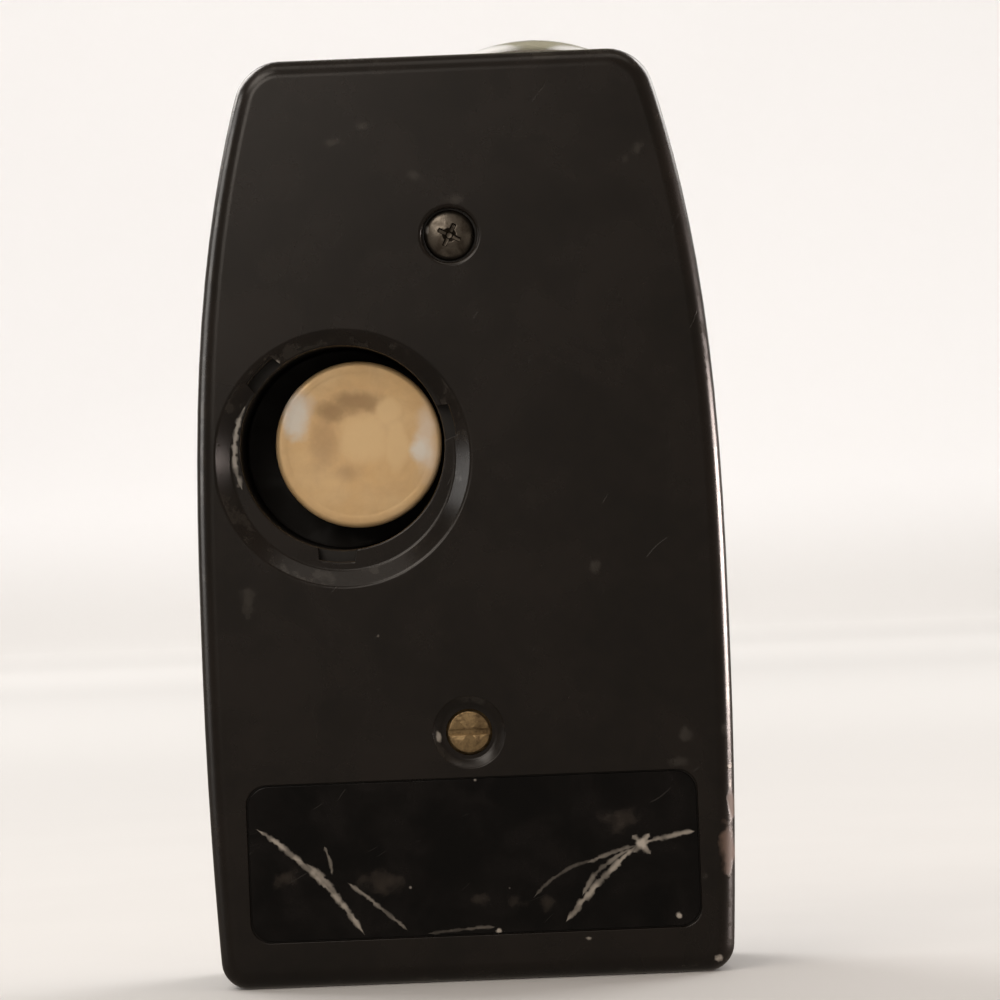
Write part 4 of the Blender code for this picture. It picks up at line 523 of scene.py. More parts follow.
# %% Cutters with a soft lip
def flared(radius, lip, steps=5):
    """Rings that come down to the face and bend into an upright wall over a small round lip."""
    angles = [math.pi / 2 * step / steps for step in range(steps + 1)]
    bend = [(radius + lip * (1 - math.sin(angle)), -lip * (1 - math.cos(angle))) for angle in angles]
    return [(radius + lip, OVERRUN)] + bend


def soft_cone(radius, depth, slope, bend):
    """Rings down a sloping wall that bends softly out of the face and into the floor."""
    rings = [(radius, OVERRUN), (radius, 0)]
    steps = [slope * step / 5 for step in range(1, 6)]
    for angle in steps:
        rings.append((radius - bend * math.sin(angle), -bend * (1 - math.cos(angle))))
    out = radius - bend * math.sin(slope)
    run = (depth - 2 * bend * (1 - math.cos(slope))) / math.tan(slope)
    for angle in reversed([0.0] + steps[:-1]):
        past = bend * (math.sin(slope) - math.sin(angle))
        fall = bend * (math.cos(angle) - math.cos(slope))
        rings.append((out - run - past, -depth + bend * (1 - math.cos(slope)) - fall))
    return rings


def polar(point, x, z):
    """How far a point of a mesh lies from an axis that runs front to back, and at which angle."""
    across, up = point.co.x / MM - x, point.co.z / MM - z
    return math.hypot(across, up), math.atan2(up, across)


recess_rings = soft_cone(RECESS_RADIUS + RECESS_LIP, RECESS_DEPTH, RECESS_SLOPE, RECESS_BEND)
recess_cut = turned("recess_cut", recess_rings, (WELL_X, BACK_Y, RECESS_Z), BACKWARD, 160)

mouth_rings = [(radius, height - RECESS_DEPTH) for radius, height in flared(WELL_RADIUS, MOUTH_LIP)]
mouth_rings = [(WELL_RADIUS + MOUTH_LIP, OVERRUN)] + mouth_rings[1:] + [(WELL_RADIUS, -MOUTH_DEPTH)]
mouth_cut = turned("mouth_cut", mouth_rings, (WELL_X, BACK_Y, WELL_Z), BACKWARD, 180)
start_editing(mouth_cut)
half_notch = math.degrees(math.asin(NOTCH_WIDTH / 2 / WELL_RADIUS))
grow = (WELL_RADIUS + NOTCH_DEPTH) / WELL_RADIUS
for angle in NOTCH_ANGLES:

    def in_notch(point):
        """True for a point of the mouth inside this notch."""
        turn = math.degrees(polar(point, WELL_X, WELL_Z)[1]) - angle
        return abs((turn + 180) % 360 - 180) < half_notch

    choose(mouth_cut, "verts", in_notch)
    bpy.ops.transform.resize(value=(grow, 1, grow), center_override=metres(WELL_X, 0, WELL_Z))
stop_editing()

screw_place, zero_place = (0, BACK_Y, SCREW_Z), (0, BACK_Y, ZERO_Z)
seat_rings = flared(SEAT_RADIUS, SEAT_LIP) + [(SEAT_RADIUS, -SEAT_DEPTH)]
seat_cut = turned("seat_cut", seat_rings, screw_place, BACKWARD)
screw_hole_cut = rod("screw_hole_cut", SCREW_HOLE_RADIUS, 0, -SCREW_HOLE_DEPTH, screw_place, BACKWARD, 48)
dish_rings = flared(DISH_RADIUS, DISH_LIP) + [(3.05, -0.30), (2.75, -0.50), (2.6, -0.58), (2.45, -0.6)]
dish_cut = turned("dish_cut", dish_rings, zero_place, BACKWARD)
zero_hole_cut = rod("zero_hole_cut", ZERO_HOLE_RADIUS, 0, -ZERO_HOLE_DEPTH, zero_place, BACKWARD, 96)

LABEL_Z = 11.6
LABEL_WIDTH = 41.8
LABEL_HEIGHT = 14.6
LABEL_CORNER = 1.9
LABEL_SINK = 0.55
label_steps = ((-OVERRUN, 0.10), (0, 0.10), (0.03, 0.04), (0.10, 0), (LABEL_SINK, 0))
label_layers = [(BACK_Y + sink, grow) for sink, grow in label_steps]
label_cut = slab("label_cut", 0, LABEL_Z, LABEL_WIDTH, LABEL_HEIGHT, LABEL_CORNER, label_layers)
print("cutters ready, label field is", LABEL_WIDTH, "mm wide")

# %% [markdown]
# The cover is thin where the openings go, so it gets its pads first: one behind the screw's seat and one round the
# well. Joined first and cut last, the openings go through pads and wall together.

# %% The back cover
PAD_START = 0.7
SCREW_PAD_RADIUS = 3.65
SCREW_PAD_END = 4.9
WELL_PAD_RADIUS = 12.8
WELL_PAD_END = 2.7
TONGUE_X = 12
TONGUE_HALF_WIDTH = 3
TONGUE_BASE = 1.6
TONGUE_TOP = 2.6
TONGUE_REACH = 2.6
screw_pad = rod("screw_pad", SCREW_PAD_RADIUS, -PAD_START, -SCREW_PAD_END, screw_place, BACKWARD, 64)
well_place = (WELL_X, BACK_Y, RECESS_Z)
well_pad = rod("well_pad", WELL_PAD_RADIUS, -PAD_START, -WELL_PAD_END, well_place, BACKWARD, 96)
cut(back_cover, screw_pad, well_pad, operation="UNION")
for tongue_x in (-TONGUE_X, TONGUE_X):
    tongue_low = (tongue_x - TONGUE_HALF_WIDTH, BACK_Y + PAD_START, TONGUE_BASE)
    tongue_high = (tongue_x + TONGUE_HALF_WIDTH, PARTING_Y - LIP_GAP / 2 + TONGUE_REACH, TONGUE_TOP)
    tongue = box_block("tongue", tongue_low, tongue_high)
    soften_edges(tongue, 0.25)
    cut(back_cover, tongue, operation="UNION")
cut(back_cover, label_cut, seat_cut, screw_hole_cut, dish_cut, zero_hole_cut, mouth_cut, recess_cut)
hand_over(back_cover, "back_cover")
print("back cover has", len(back_cover.data.polygons), "faces")

# %% [markdown]
# ## The front shell
#
# The front shell opens for the window, the dial's spindle, the button, the slide switch and the light cell. Its
# window is wider at the top than at the base, so its cutter is a slab whose upper points are drawn out.

# %% Places on the dial side
DIAL_Z = 27.8
DIAL_PLACE = (0, 0, DIAL_Z)
CONTROL_X = 16.6
CONTROL_Z = 48.585
BUTTON_PLACE = (CONTROL_X, 0, CONTROL_Z)
SLIDER_TRAVEL = 2.4
BUTTON_HOLE_RADIUS = 2.4
SLOT_WIDTH = 1.8
SLOT_HEIGHT = 4.8
WINDOW_BASE = 52.985
WINDOW_TOP = 74.0
WINDOW_BASE_HALF = 13.5
WINDOW_TOP_HALF = 15.8
CELL_PLACE = (8.2, 2.0, BODY_TOP)
NECK_RADIUS = 4.6
CUT_DEPTH = 3
print("dial centre at", DIAL_Z, "mm")


# %% Window outline
def window_slab(name, layers, corner=2.0):
    """A slab with the window's outline, wider at the top."""
    height = WINDOW_TOP - WINDOW_BASE
    middle = (WINDOW_TOP + WINDOW_BASE) / 2
    piece = slab(name, 0, middle, 2 * WINDOW_BASE_HALF, height, corner, layers)
    start_editing(piece)
    for level in sorted({round(point.co.z, 7) for point in piece.data.vertices}):
        choose(piece, "verts", lambda point: abs(point.co.z - level) < 0.0005 * MM)
        rise = (level / MM - WINDOW_BASE) / height
        share = 1 + (WINDOW_TOP_HALF / WINDOW_BASE_HALF - 1) * rise
        bpy.ops.transform.resize(value=(share, 1, 1), center_override=metres(0, 0, middle))
    stop_editing()
    return piece


def side_openings(low_y, high_y, spare, corner):
    """Cutters for the button and the slide switch. The openings get a little spare room."""
    slot_middle = CONTROL_Z + SLIDER_TRAVEL / 2
    slot_size = (SLOT_WIDTH + spare, SLOT_HEIGHT + spare)
    return (
        rod("button_cut", BUTTON_HOLE_RADIUS + spare / 2, high_y, low_y, BUTTON_PLACE, FORWARD, 64),
        slab("slot_cut", -CONTROL_X, slot_middle, *slot_size, corner, [(low_y, 0), (high_y, 0)], 4),
    )


window_cut = window_slab("window_cut", [(FRONT_Y - CUT_DEPTH, 0), (FRONT_Y + OVERRUN, 0)])
print("window is", round(WINDOW_TOP - WINDOW_BASE, 1), "mm high")

# %% The front case
POST_BORE = 0.8
POST_TOP = FRONT_Y - 0.7
BOSS_RADIUS = 3.4
BOSS_DEPTH = 0.8
SPINDLE_RADIUS = 1.8
POST_KINDS = (("chassis_screw", 4, 1.6, 6.2), ("bridge_screw", 2, 2.1, 6.8))
case_posts = []
for screw_name, count, post_radius, post_end in POST_KINDS:
    for number in range(1, count + 1):
        low, high = box_of(f"{screw_name}_{number}")
        post_place = ((low.x + high.x) / 2, 0, (low.z + high.z) / 2)
        case_posts.append(tube("case_post", POST_BORE, post_radius, post_end, POST_TOP, post_place, FORWARD, 32))
spindle_boss = rod("spindle_boss", BOSS_RADIUS, POST_TOP, FRONT_Y - WALL - BOSS_DEPTH, DIAL_PLACE, FORWARD, 48)
cut(front_case, spindle_boss, *case_posts, operation="UNION")
spindle_cut = rod("spindle_cut", SPINDLE_RADIUS, 20, 6, DIAL_PLACE, FORWARD, 48)
control_cuts = side_openings(FRONT_Y - CUT_DEPTH, FRONT_Y + OVERRUN, 0, 0.4)
neck_cut = rod("neck_cut", NECK_RADIUS, OVERRUN, -CUT_DEPTH, CELL_PLACE, UPWARD, 96)
cut(front_case, window_cut, spindle_cut, *control_cuts, neck_cut)
hand_over(front_case, "front_case")
print("front case has", len(front_case.data.polygons), "faces")

# %% [markdown]
# ## Small pieces on the back
#
# The label plate lies in its field with a hair's gap all round. The cover screw has a low crown and a cross that
# tapers inwards. The zero adjuster is a plain brass head with one slot, a little below the face.

# %% Label plate
PLATE_GAP = 0.12
low, high = box_of("label_plate")
plate_steps = ((0, 0.07), (0.02, 0.03), (0.07, 0), (high.y - low.y, 0))
plate_layers = [(low.y + sink, -PLATE_GAP - draw_in) for sink, draw_in in plate_steps]
label_plate = slab("label_plate_piece", 0, LABEL_Z, LABEL_WIDTH, LABEL_HEIGHT, LABEL_CORNER, plate_layers)
hand_over(label_plate, "label_plate")
print("label plate is", round(high.y - low.y, 2), "mm thick")

# %% Cover screw
HEAD_RADIUS = 2.35
THREAD_RADIUS = 1.25
THREAD_PITCH = 0.5
low, high = box_of("cover_screw")
length = high.y - low.y
screw_rings = [
    (0.30, 0), (0.75, -0.03), (1.20, -0.10), (1.60, -0.20), (1.90, -0.32), (2.12, -0.45), (2.26, -0.58),
    (HEAD_RADIUS, -0.70), (HEAD_RADIUS, -0.82), (THREAD_RADIUS, -0.84),
]
depth = 1.2
while depth < length - THREAD_PITCH:
    screw_rings += [(THREAD_RADIUS, -depth), (THREAD_RADIUS - 0.23, -depth - THREAD_PITCH / 2)]
    depth += THREAD_PITCH
screw_rings += [(THREAD_RADIUS, -depth), (0.9, -length)]
head_place = (0, low.y, SCREW_Z)
cover_screw = turned("cover_screw_piece", screw_rings, head_place, BACKWARD, 72)

CROSS_TURN = math.radians(63)
CROSS_LENGTH = 2.5
CROSS_WIDTH = 0.62
CROSS_DEPTH = 0.72
CROSS_TAPER = 0.18
bar_layers = [(low.y - OVERRUN / 2, 0), (low.y + CROSS_DEPTH, -CROSS_TAPER)]
cross_bars = []
for turn in (0, math.pi / 2):
    bar = slab("cross_bar", 0, SCREW_Z, CROSS_LENGTH, CROSS_WIDTH, 0.12, bar_layers, 3)
    start_editing(bar)
    bpy.ops.mesh.select_all(action="SELECT")
    bpy.ops.transform.rotate(value=turn + CROSS_TURN, orient_axis="Y", center_override=metres(0, 0, SCREW_Z))
    stop_editing()
    cross_bars.append(bar)
cross_well = turned("cross_well", [(0.75, 0.5), (0.62, -0.15), (0.25, -1.0)], head_place, BACKWARD, 32)
cut(cover_screw, *cross_bars, cross_well)
soften_edges(cover_screw, 0.03, 40)
hand_over(cover_screw, "cover_screw", degrees=40)
print("screw is", round(length, 2), "mm long, its cross", round(math.degrees(CROSS_TURN)), "degrees off level")


# %% Zero adjuster
def block_at(name, x, z, half_width, half_height, low_y, high_y):
    """A block round a place on the back or the dial side."""
    return box_block(name, (x - half_width, low_y, z - half_height), (x + half_width, high_y, z + half_height))


ZERO_RADIUS = 1.95
FLANGE_RADIUS = 2.7
FLANGE_THICKNESS = 0.6
PIN_RADIUS = 0.45
PIN_OFFSET = 0.9
SLOT_HALF = 0.3
SLOT_DEPTH = 0.5
low, high = box_of("zero_adjust_screw")
flange_y = BACK_Y + WALL + 0.2
flange_top = low.y - flange_y
zero_rings = [(0.4, 0)] + quarter_round(ZERO_RADIUS, 0.14) + [
    (ZERO_RADIUS, flange_top), (FLANGE_RADIUS, flange_top), (FLANGE_RADIUS, flange_top - FLANGE_THICKNESS),
]
zero_adjuster = turned("zero_adjuster_piece", zero_rings, (0, low.y, ZERO_Z), BACKWARD)
pin_rings = [
    (PIN_RADIUS, 0.3 - flange_y - FLANGE_THICKNESS), (PIN_RADIUS, 0.1 - high.y), (PIN_RADIUS - 0.1, -high.y),
]
zero_pin = turned("zero_pin", pin_rings, (0, 0, ZERO_Z + PIN_OFFSET), BACKWARD, 24)
cut(zero_adjuster, zero_pin, operation="UNION")
cut(zero_adjuster, block_at("zero_slot", 0, ZERO_Z, 3, SLOT_HALF, low.y - OVERRUN, low.y + SLOT_DEPTH))
soften_edges(zero_adjuster, 0.04, 40)
hand_over(zero_adjuster, "zero_adjust_screw", "zero_adjuster", degrees=40)
print("zero adjuster is", 2 * ZERO_RADIUS, "mm wide")

# %% [markdown]
# ## Battery and its chamber
#
# The button cell's can is drawn from sheet: a flat face with a soft edge, a faint step a little way in, and straight
# sides down to the crimp that holds the seal. The cup behind it is a plain moulded tube with a floor.

# %% Button cell
CAN_RADIUS = 7.8
low, high = box_of("battery_can")
can_x, can_z = (low.x + high.x) / 2, (low.z + high.z) / 2
can_depth = high.y - low.y
can_rings = [(0.5, -0.02), (6.6, -0.02), (6.75, -0.01), (6.9, 0)] + quarter_round(CAN_RADIUS, 0.5, 8) + [
    (CAN_RADIUS, -can_depth + 0.35), (CAN_RADIUS - 0.10, -can_depth + 0.10), (CAN_RADIUS - 0.35, -can_depth),
]
battery_can = turned("battery_can_piece", can_rings, (can_x, low.y, can_z), BACKWARD, 128)
hand_over(battery_can, "battery_can", "battery")

low, high = box_of("battery_cap")
cap_rings = [(6.1, low.y), (6.1, high.y - 0.5), (5.95, high.y - 0.15), (5.6, high.y)]
battery_cap = turned("battery_cap_piece", cap_rings, (can_x, 0, can_z), FORWARD)
hand_over(battery_cap, "battery_cap", "battery")
print("button cell is", 2 * CAN_RADIUS, "mm wide")

# %% Battery cup
CUP_RADIUS = 10.8
CUP_FLOOR = 1.0
low, high = box_of("battery_cup")
cup_floor = high.y - CUP_FLOOR
cup_rings = [
    (WELL_RADIUS, low.y + 0.25), (WELL_RADIUS + 0.1, low.y), (CUP_RADIUS - 0.1, low.y), (CUP_RADIUS, low.y + 0.1),
    (CUP_RADIUS, high.y), (0.5, high.y), (0.5, cup_floor), (WELL_RADIUS - 0.5, cup_floor),
    (WELL_RADIUS - 0.15, cup_floor - 0.15), (WELL_RADIUS, cup_floor - 0.5),
]
battery_cup = turned("battery_cup_piece", cup_rings, (WELL_X, 0, WELL_Z), FORWARD, 128, ring_shaped=True)
hand_over(battery_cup, "battery_cup")
print("cup is", round(high.y - low.y, 1), "mm deep")

# %% [markdown]
# ## Light cell
#
# The light cell looks up through a domed chrome bezel in the upper edge. The bezel and the lens in its middle share
# one dome, which is part of a large sphere.

# %% Bezel and lens
BEZEL_RADIUS = 7.0
BEZEL_RISE = 2.0
DOME_RADIUS = 15.67
LENS_SEAT = 3.0
LENS_RADIUS = 2.8
DOME_END = BEZEL_RADIUS - 0.25


def dome_height(radius):
    """The dome's height over the upper edge at a distance from its middle."""
    return BEZEL_RISE - DOME_RADIUS + math.sqrt(DOME_RADIUS ** 2 - radius ** 2)


bezel_rings = [(LENS_SEAT, dome_height(LENS_SEAT) - 0.15), (LENS_SEAT + 0.06, dome_height(LENS_SEAT) - 0.02)]
for step in range(1, 13):
    reach = LENS_SEAT + (DOME_END - LENS_SEAT) * step / 12
    bezel_rings.append((reach, dome_height(reach)))
rim_top = dome_height(DOME_END)
bezel_rings += [
    (BEZEL_RADIUS - 0.08, rim_top - 0.09), (BEZEL_RADIUS, rim_top - 0.20), (BEZEL_RADIUS, 0.15),
    (4.4, 0.15), (4.4, -1.6), (LENS_SEAT, -1.6),
]
cell_bezel = turned("cell_bezel_piece", bezel_rings, CELL_PLACE, UPWARD, 128, ring_shaped=True)
hand_over(cell_bezel, "cell_bezel")

lens_reaches = [LENS_RADIUS * step / 7.15 for step in range(1, 8)]
lens_rings = [(reach, dome_height(reach) - 0.02) for reach in lens_reaches]
lens_rings += [(LENS_RADIUS, dome_height(LENS_RADIUS) - 0.1), (LENS_RADIUS, -0.2)]
cell_lens = turned("cell_lens_piece", lens_rings, CELL_PLACE, UPWARD)
hand_over(cell_lens, "cell_lens")
print("bezel stands", BEZEL_RISE, "mm above the upper edge")

# %% [markdown]
# ## Dial side
#
# The dial side can't be seen in the picture. It has what every pocket meter of this kind has: a brushed plate round
# the scale window, a button and a slide switch, and a calculator dial with a knurled ring.


# %% Dial plate
def holed_disc(name, radius, low_y, high_y, edge, sides=160):
    """A flat turned disc with the dial's bore and soft outer edges, lying against the dial side."""
    rings = [
        (BORE, low_y), (BORE, high_y), (radius - edge, high_y), (radius - edge * 0.3, high_y - edge * 0.3),
        (radius, high_y - edge), (radius, low_y),
    ]
    return turned(name, rings, DIAL_PLACE, FORWARD, sides, ring_shaped=True)


BORE = 1.8
DIAL_RADIUS = 20.8
dial_low, dial_high = box_of("dial_plate")
dial_plate = holed_disc("dial_plate_piece", DIAL_RADIUS, dial_low.y, dial_high.y, 0.12)
hand_over(dial_plate, "dial_plate")
print("dial plate is", round(dial_high.x - dial_low.x, 1), "mm wide")

# %% Knurled ring
RING_RADIUS = 19.6
POCKET_RADIUS = 14.6
FLUTES = 48
ring_low, ring_high = box_of("exposure_ring")
pocket_y = ring_low.y + 0.9
ring_rings = [
    (BORE, ring_low.y), (BORE, pocket_y), (POCKET_RADIUS - 0.15, pocket_y), (POCKET_RADIUS, pocket_y + 0.15),
    (POCKET_RADIUS, ring_high.y - 0.12), (POCKET_RADIUS + 0.12, ring_high.y),
]
for draw_in, drop in ((0.9, 0), (0.75, 0.04), (0.25, 0.35), (0.07, 0.55), (0, 0.85)):
    ring_rings.append((RING_RADIUS - draw_in, ring_high.y - drop))
ring_rings += [(RING_RADIUS, ring_low.y + 0.3), (RING_RADIUS - 0.3, ring_low.y)]
exposure_ring = turned("exposure_ring_piece", ring_rings, DIAL_PLACE, FORWARD, FLUTES * 8, ring_shaped=True)


def in_flute(point, start, end):
    """True for a point at the rim that lies between two shares of a flute's width."""
    reach, turn = polar(point, 0, DIAL_Z)
    at_rim = reach > RING_RADIUS - 0.5 and point.co.y / MM < ring_high.y - 0.3
    return at_rim and start < turn / (2 * math.pi) * FLUTES % 1 < end


start_editing(exposure_ring)
for start, end, drop in ((0.30, 0.95, 0.22), (0.42, 0.83, 0.26)):
    choose(exposure_ring, "verts", lambda point: in_flute(point, start, end))
    shrink = 1 - drop / RING_RADIUS
    bpy.ops.transform.resize(value=(shrink, 1, shrink), center_override=metres(*DIAL_PLACE))
stop_editing()
hand_over(exposure_ring, "exposure_ring", "exposure_dial", degrees=50)
print("ring has", FLUTES, "flutes")

# %% Film speed disc
DISC_RADIUS = 14.4
DISC_WINDOW_Z = 39.5
GRIP_X = 8.1
GRIP_LENGTH = 9.4
GRIP_WIDTH = 3.0
low, high = box_of("film_speed_disc")
disc_face = low.y + 1.1
film_speed_disc = holed_disc("film_speed_disc_piece", DISC_RADIUS, low.y, disc_face, 0.15, 128)
window_layers = [(low.y - OVERRUN, 0), (disc_face - 0.15, 0), (disc_face, 0.15), (disc_face + OVERRUN, 0.15)]
cut(film_speed_disc, slab("disc_window", 0, DISC_WINDOW_Z, 4.0, 2.2, 0.3, window_layers, 4))
grip_layers = [(disc_face - 0.5, 0), (high.y - 0.35, -0.05), (high.y - 0.12, -0.14), (high.y, -0.35)]
grips = [slab("grip", side * GRIP_X, DIAL_Z, GRIP_LENGTH, GRIP_WIDTH, 0.5, grip_layers, 5) for side in (-1, 1)]
cut(film_speed_disc, *grips, operation="UNION")
hand_over(film_speed_disc, "film_speed_disc", "film_speed_dial")
print("film speed disc is", 2 * DISC_RADIUS, "mm wide")

# %% Dial screw
low, high = box_of("dial_screw")
spindle_steps = (
    (0.5, 0), (1.1, 0.015), (1.7, 0.05), (2.2, 0.11), (2.55, 0.19), (2.80, 0.31), (2.94, 0.45), (3.0, 0.62),
    (3.0, 0.8), (1.6, 0.8), (1.6, high.y - low.y),
)
spindle_rings = [(radius, high.y - drop) for radius, drop in spindle_steps]
dial_screw = turned("dial_screw_piece", spindle_rings, DIAL_PLACE, FORWARD)
cut(dial_screw, block_at("spindle_slot", 0, DIAL_Z, 4, 0.3, high.y - 0.4, high.y + 1))
soften_edges(dial_screw, 0.03, 40)
hand_over(dial_screw, "dial_screw", degrees=40)
print("dial screw ready")

# %% Reading button
low, high = box_of("reading_button")
button_steps = (
    (0.4, 0.12), (1.0, 0.09), (1.5, 0.02), (1.65, 0), (1.85, 0.04), (2.05, 0.14), (2.17, 0.28), (2.2, 0.45),
)
button_rings = [(radius, high.y - drop) for radius, drop in button_steps]
button_rings += [(2.2, 9.4), (2.9, 9.4), (2.9, low.y)]
reading_button = turned("reading_button_piece", button_rings, BUTTON_PLACE, FORWARD)
hand_over(reading_button, "reading_button", "reading_button_group")
print("button stands at", round(high.y, 2), "mm")

# %% Slide switch
low, high = box_of("range_slider")
cap_layers = [(11.9, 0), (high.y - 0.3, -0.04), (high.y - 0.1, -0.12), (high.y, -0.3)]
range_slider = slab("range_slider_piece", -CONTROL_X, CONTROL_Z, 3.4, 2.0, 0.3, cap_layers, 5)
for step in range(-2, 3):
    groove_x = -CONTROL_X + step * 0.55
    cut(range_slider, block_at("groove", groove_x, CONTROL_Z, 0.09, 2, high.y - 0.14, high.y + 1))
stem = block_at("stem", -CONTROL_X, CONTROL_Z, 0.7, 1.0, 9.0, 12.1)
foot = block_at("foot", -CONTROL_X, CONTROL_Z, 1.5, 1.8, low.y, 9.4)
cut(range_slider, stem, foot, operation="UNION")
hand_over(range_slider, "range_slider", "range_switch")
print("slide switch ready")

# %% [markdown]
# ## Plate, window and print
#
# The face plate is cut from sheet, so it starts as a flat block with the casing's outline, drawn in by the same
# amount all round. Its arch for the dial, its window and its two small openings are cut last, and one fine bevel
# then breaks every edge, as a file would.

# %% Face plate
PLATE_INSET = 3.5
PLATE_CORNER = 1.44
ARCH_RADIUS = 21.7
low, high = box_of("face_plate")
plate_rows = [low.z + (high.z - low.z) * step / 10 for step in range(11)]
plate_sides = ((low.y, PLATE_INSET), (high.y, PLATE_INSET))
face_plate = outlined_block("face_plate_piece", plate_rows, plate_sides, (PLATE_CORNER, PLATE_CORNER))
for side in (-1, 1):
    choose(face_plate, "faces", lambda face: face.normal.y * side > FACING)
    bpy.ops.mesh.dissolve_faces()
stop_editing()
arch_cut = rod("arch_cut", ARCH_RADIUS, 20, 5, DIAL_PLACE, FORWARD, 192)
pane_cut = window_slab("pane_cut", [(low.y - OVERRUN, 0.2), (high.y + OVERRUN, 0.2)])
cut(face_plate, arch_cut, pane_cut, *side_openings(low.y - OVERRUN, high.y + OVERRUN, 0.4, 0.5))
soften_edges(face_plate, 0.10)
hand_over(face_plate, "face_plate")
print("face plate has", len(face_plate.data.polygons), "faces")

# %% Window
low, high = box_of("meter_window")
flange_layers = [(low.y, 1.15), (low.y + 0.05, 1.2), (9.4, 1.2)]
pane_layers = [
    (9.1, -0.2), (high.y - 0.22, -0.2), (high.y - 0.08, -0.26), (high.y - 0.02, -0.38), (high.y, -0.6),
]
meter_window = window_slab("meter_window_piece", flange_layers, 2.4)
cut(meter_window, window_slab("pane", pane_layers), operation="UNION")
hand_over(meter_window, "meter_window")
print("window pane stands", round(high.y - FRONT_Y, 2), "mm proud")

# %% [markdown]
# Printed marks are thin solids that lie on what they are printed on. Ticks are one small bar that is copied and
# turned about the needle's pivot. Numbers are text that is made a mesh before it is turned into place.

# %% Printing tools
INK = 0.03
STROKE_GAIN = 0.012
PRINT_FACING = (math.pi / 2, 0, math.pi)


def place_print(piece, reach, turn, centre):
    """Moves a flat print out from a centre, turns it about that centre, and stands it up facing the dial side."""
    piece.location = metres(0, reach, 0)
    put_down(piece)
    piece.rotation_euler = (0, 0, -turn)
    put_down(piece)
    piece.rotation_euler = PRINT_FACING
    piece.location = metres(*centre)
    put_down(piece)
    return piece


def figure(text, size, reach, turn, centre):
    """A printed number at a distance and angle from a centre."""
    nothing_selected()
    bpy.ops.object.text_add(location=(0, 0, 0))
    words = bpy.context.object.data
    words.body = text
    words.size = size * MM
    words.align_x = words.align_y = "CENTER"
    words.extrude = INK / 2 * MM
    words.offset = size * STROKE_GAIN * MM
    words.resolution_u = 3
    bpy.ops.object.convert(target="MESH")
    return place_print(bpy.context.object, reach, turn, centre)


def tick(length, width, reach, turn, centre):
    """A printed line that points at a centre."""
    bar = box_block("tick", (-width / 2, -length / 2, -INK / 2), (width / 2, length / 2, INK / 2))
    return place_print(bar, reach, turn, centre)


def arc_band(name, inner, outer, low_turn, high_turn, centre):
    """A printed arc: a thin ring that is cut back to a sector."""
    x, y, z = centre
    band = tube(name, inner, outer, y - INK / 2, y + INK / 2, (x, 0, z), FORWARD, 240)
    start_editing(band, "FACE")
    for turn, keep in ((low_turn, 1), (high_turn, -1)):
        across = (-math.cos(turn) * keep, 0, -math.sin(turn) * keep)
        bpy.ops.mesh.select_all(action="SELECT")
        bpy.ops.mesh.bisect(plane_co=metres(x, y, z), plane_no=across, clear_inner=True, use_fill=True)
    stop_editing()
    return band


def hand_over_print(name, marks, body):
    """Joins printed marks into one piece and says what it rides on. It stands for no solid."""
    nothing_selected()
    for mark in marks:
        mark.select_set(True)
    bpy.context.view_layer.objects.active = marks[0]
    bpy.ops.object.join()
    marks[0].name = name
    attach(marks[0], body)
    return marks[0]


print("printing tools ready")

# %% Meter scale
PIVOT_Z = 32.0
SWEEP = math.radians(18.5)
SCALE_STEPS = 28
low, high = box_of("scale_plate")
scale_plate = window_slab("scale_plate_piece", [(low.y, 0), (high.y - 0.05, 0), (high.y, -0.05)])
hand_over(scale_plate, "scale_plate")
pivot = (0, high.y + INK / 2, PIVOT_Z)
black_marks = [arc_band("scale_line", inner, inner + 0.15, -SWEEP, SWEEP, pivot) for inner in (33.9, 29.9)]
red_marks = []
for step in range(SCALE_STEPS + 1):
    turn = -SWEEP + 2 * SWEEP * step / SCALE_STEPS
    length, width = (0.7, 0.12) if step % 2 else (1.3, 0.20)
    black_marks.append(tick(length, width, 34.0 + length / 2, turn, pivot))
    red_marks.append(tick(length, width, 29.9 - length / 2, turn, pivot))
    if step % 4 == 0:
        black_marks.append(figure(str(4 + step // 2), 2.0, 36.7, turn, pivot))
        red_marks.append(figure(str(step // 2 - 2), 1.8, 27.3, turn, pivot))
scale_print = hand_over_print("scale_print_black", black_marks, "meter_body")
scale_print_red = hand_over_print("scale_print_red", red_marks, "meter_body")
print("scale has", SCALE_STEPS + 1, "ticks")

# %% Dial print
SECONDS = "60 30 15 8 4 2 1 2 4 8 15 30 60 125 250 500".split()
FILM_SPEEDS = "100 125 160 200 250 320 400 500 640 800 10 12 16 20 25 32 40 50 64 80".split()
APERTURES = "1.4 2 2.8 4 5.6 8 11 16 22 32".split()
APERTURE_TURNS = (25, 45, 65, 115, 135, 155, 180, 205, 225, 245)
FULL_TURN = 2 * math.pi


def dial_level(y):
    """The dial's centre at the height of a print that lies on a face."""
    return (0, y + INK / 2, DIAL_Z)


marks = []
on_rim = dial_level(ring_high.y)
for step, text in enumerate(SECONDS):
    turn = FULL_TURN * step / len(SECONDS)
    marks.append(figure(text, 1.75, 17.1, turn, on_rim))
    marks.append(tick(0.7, 0.16, 15.25, turn, on_rim))
    marks.append(tick(0.45, 0.12, 15.15, turn + math.pi / 16, on_rim))
for step, text in enumerate(FILM_SPEEDS):
    marks.append(figure(text, 1.35, 11.7, FULL_TURN * step / len(FILM_SPEEDS), dial_level(pocket_y)))
ring_print = hand_over_print("ring_print", marks, "exposure_dial")

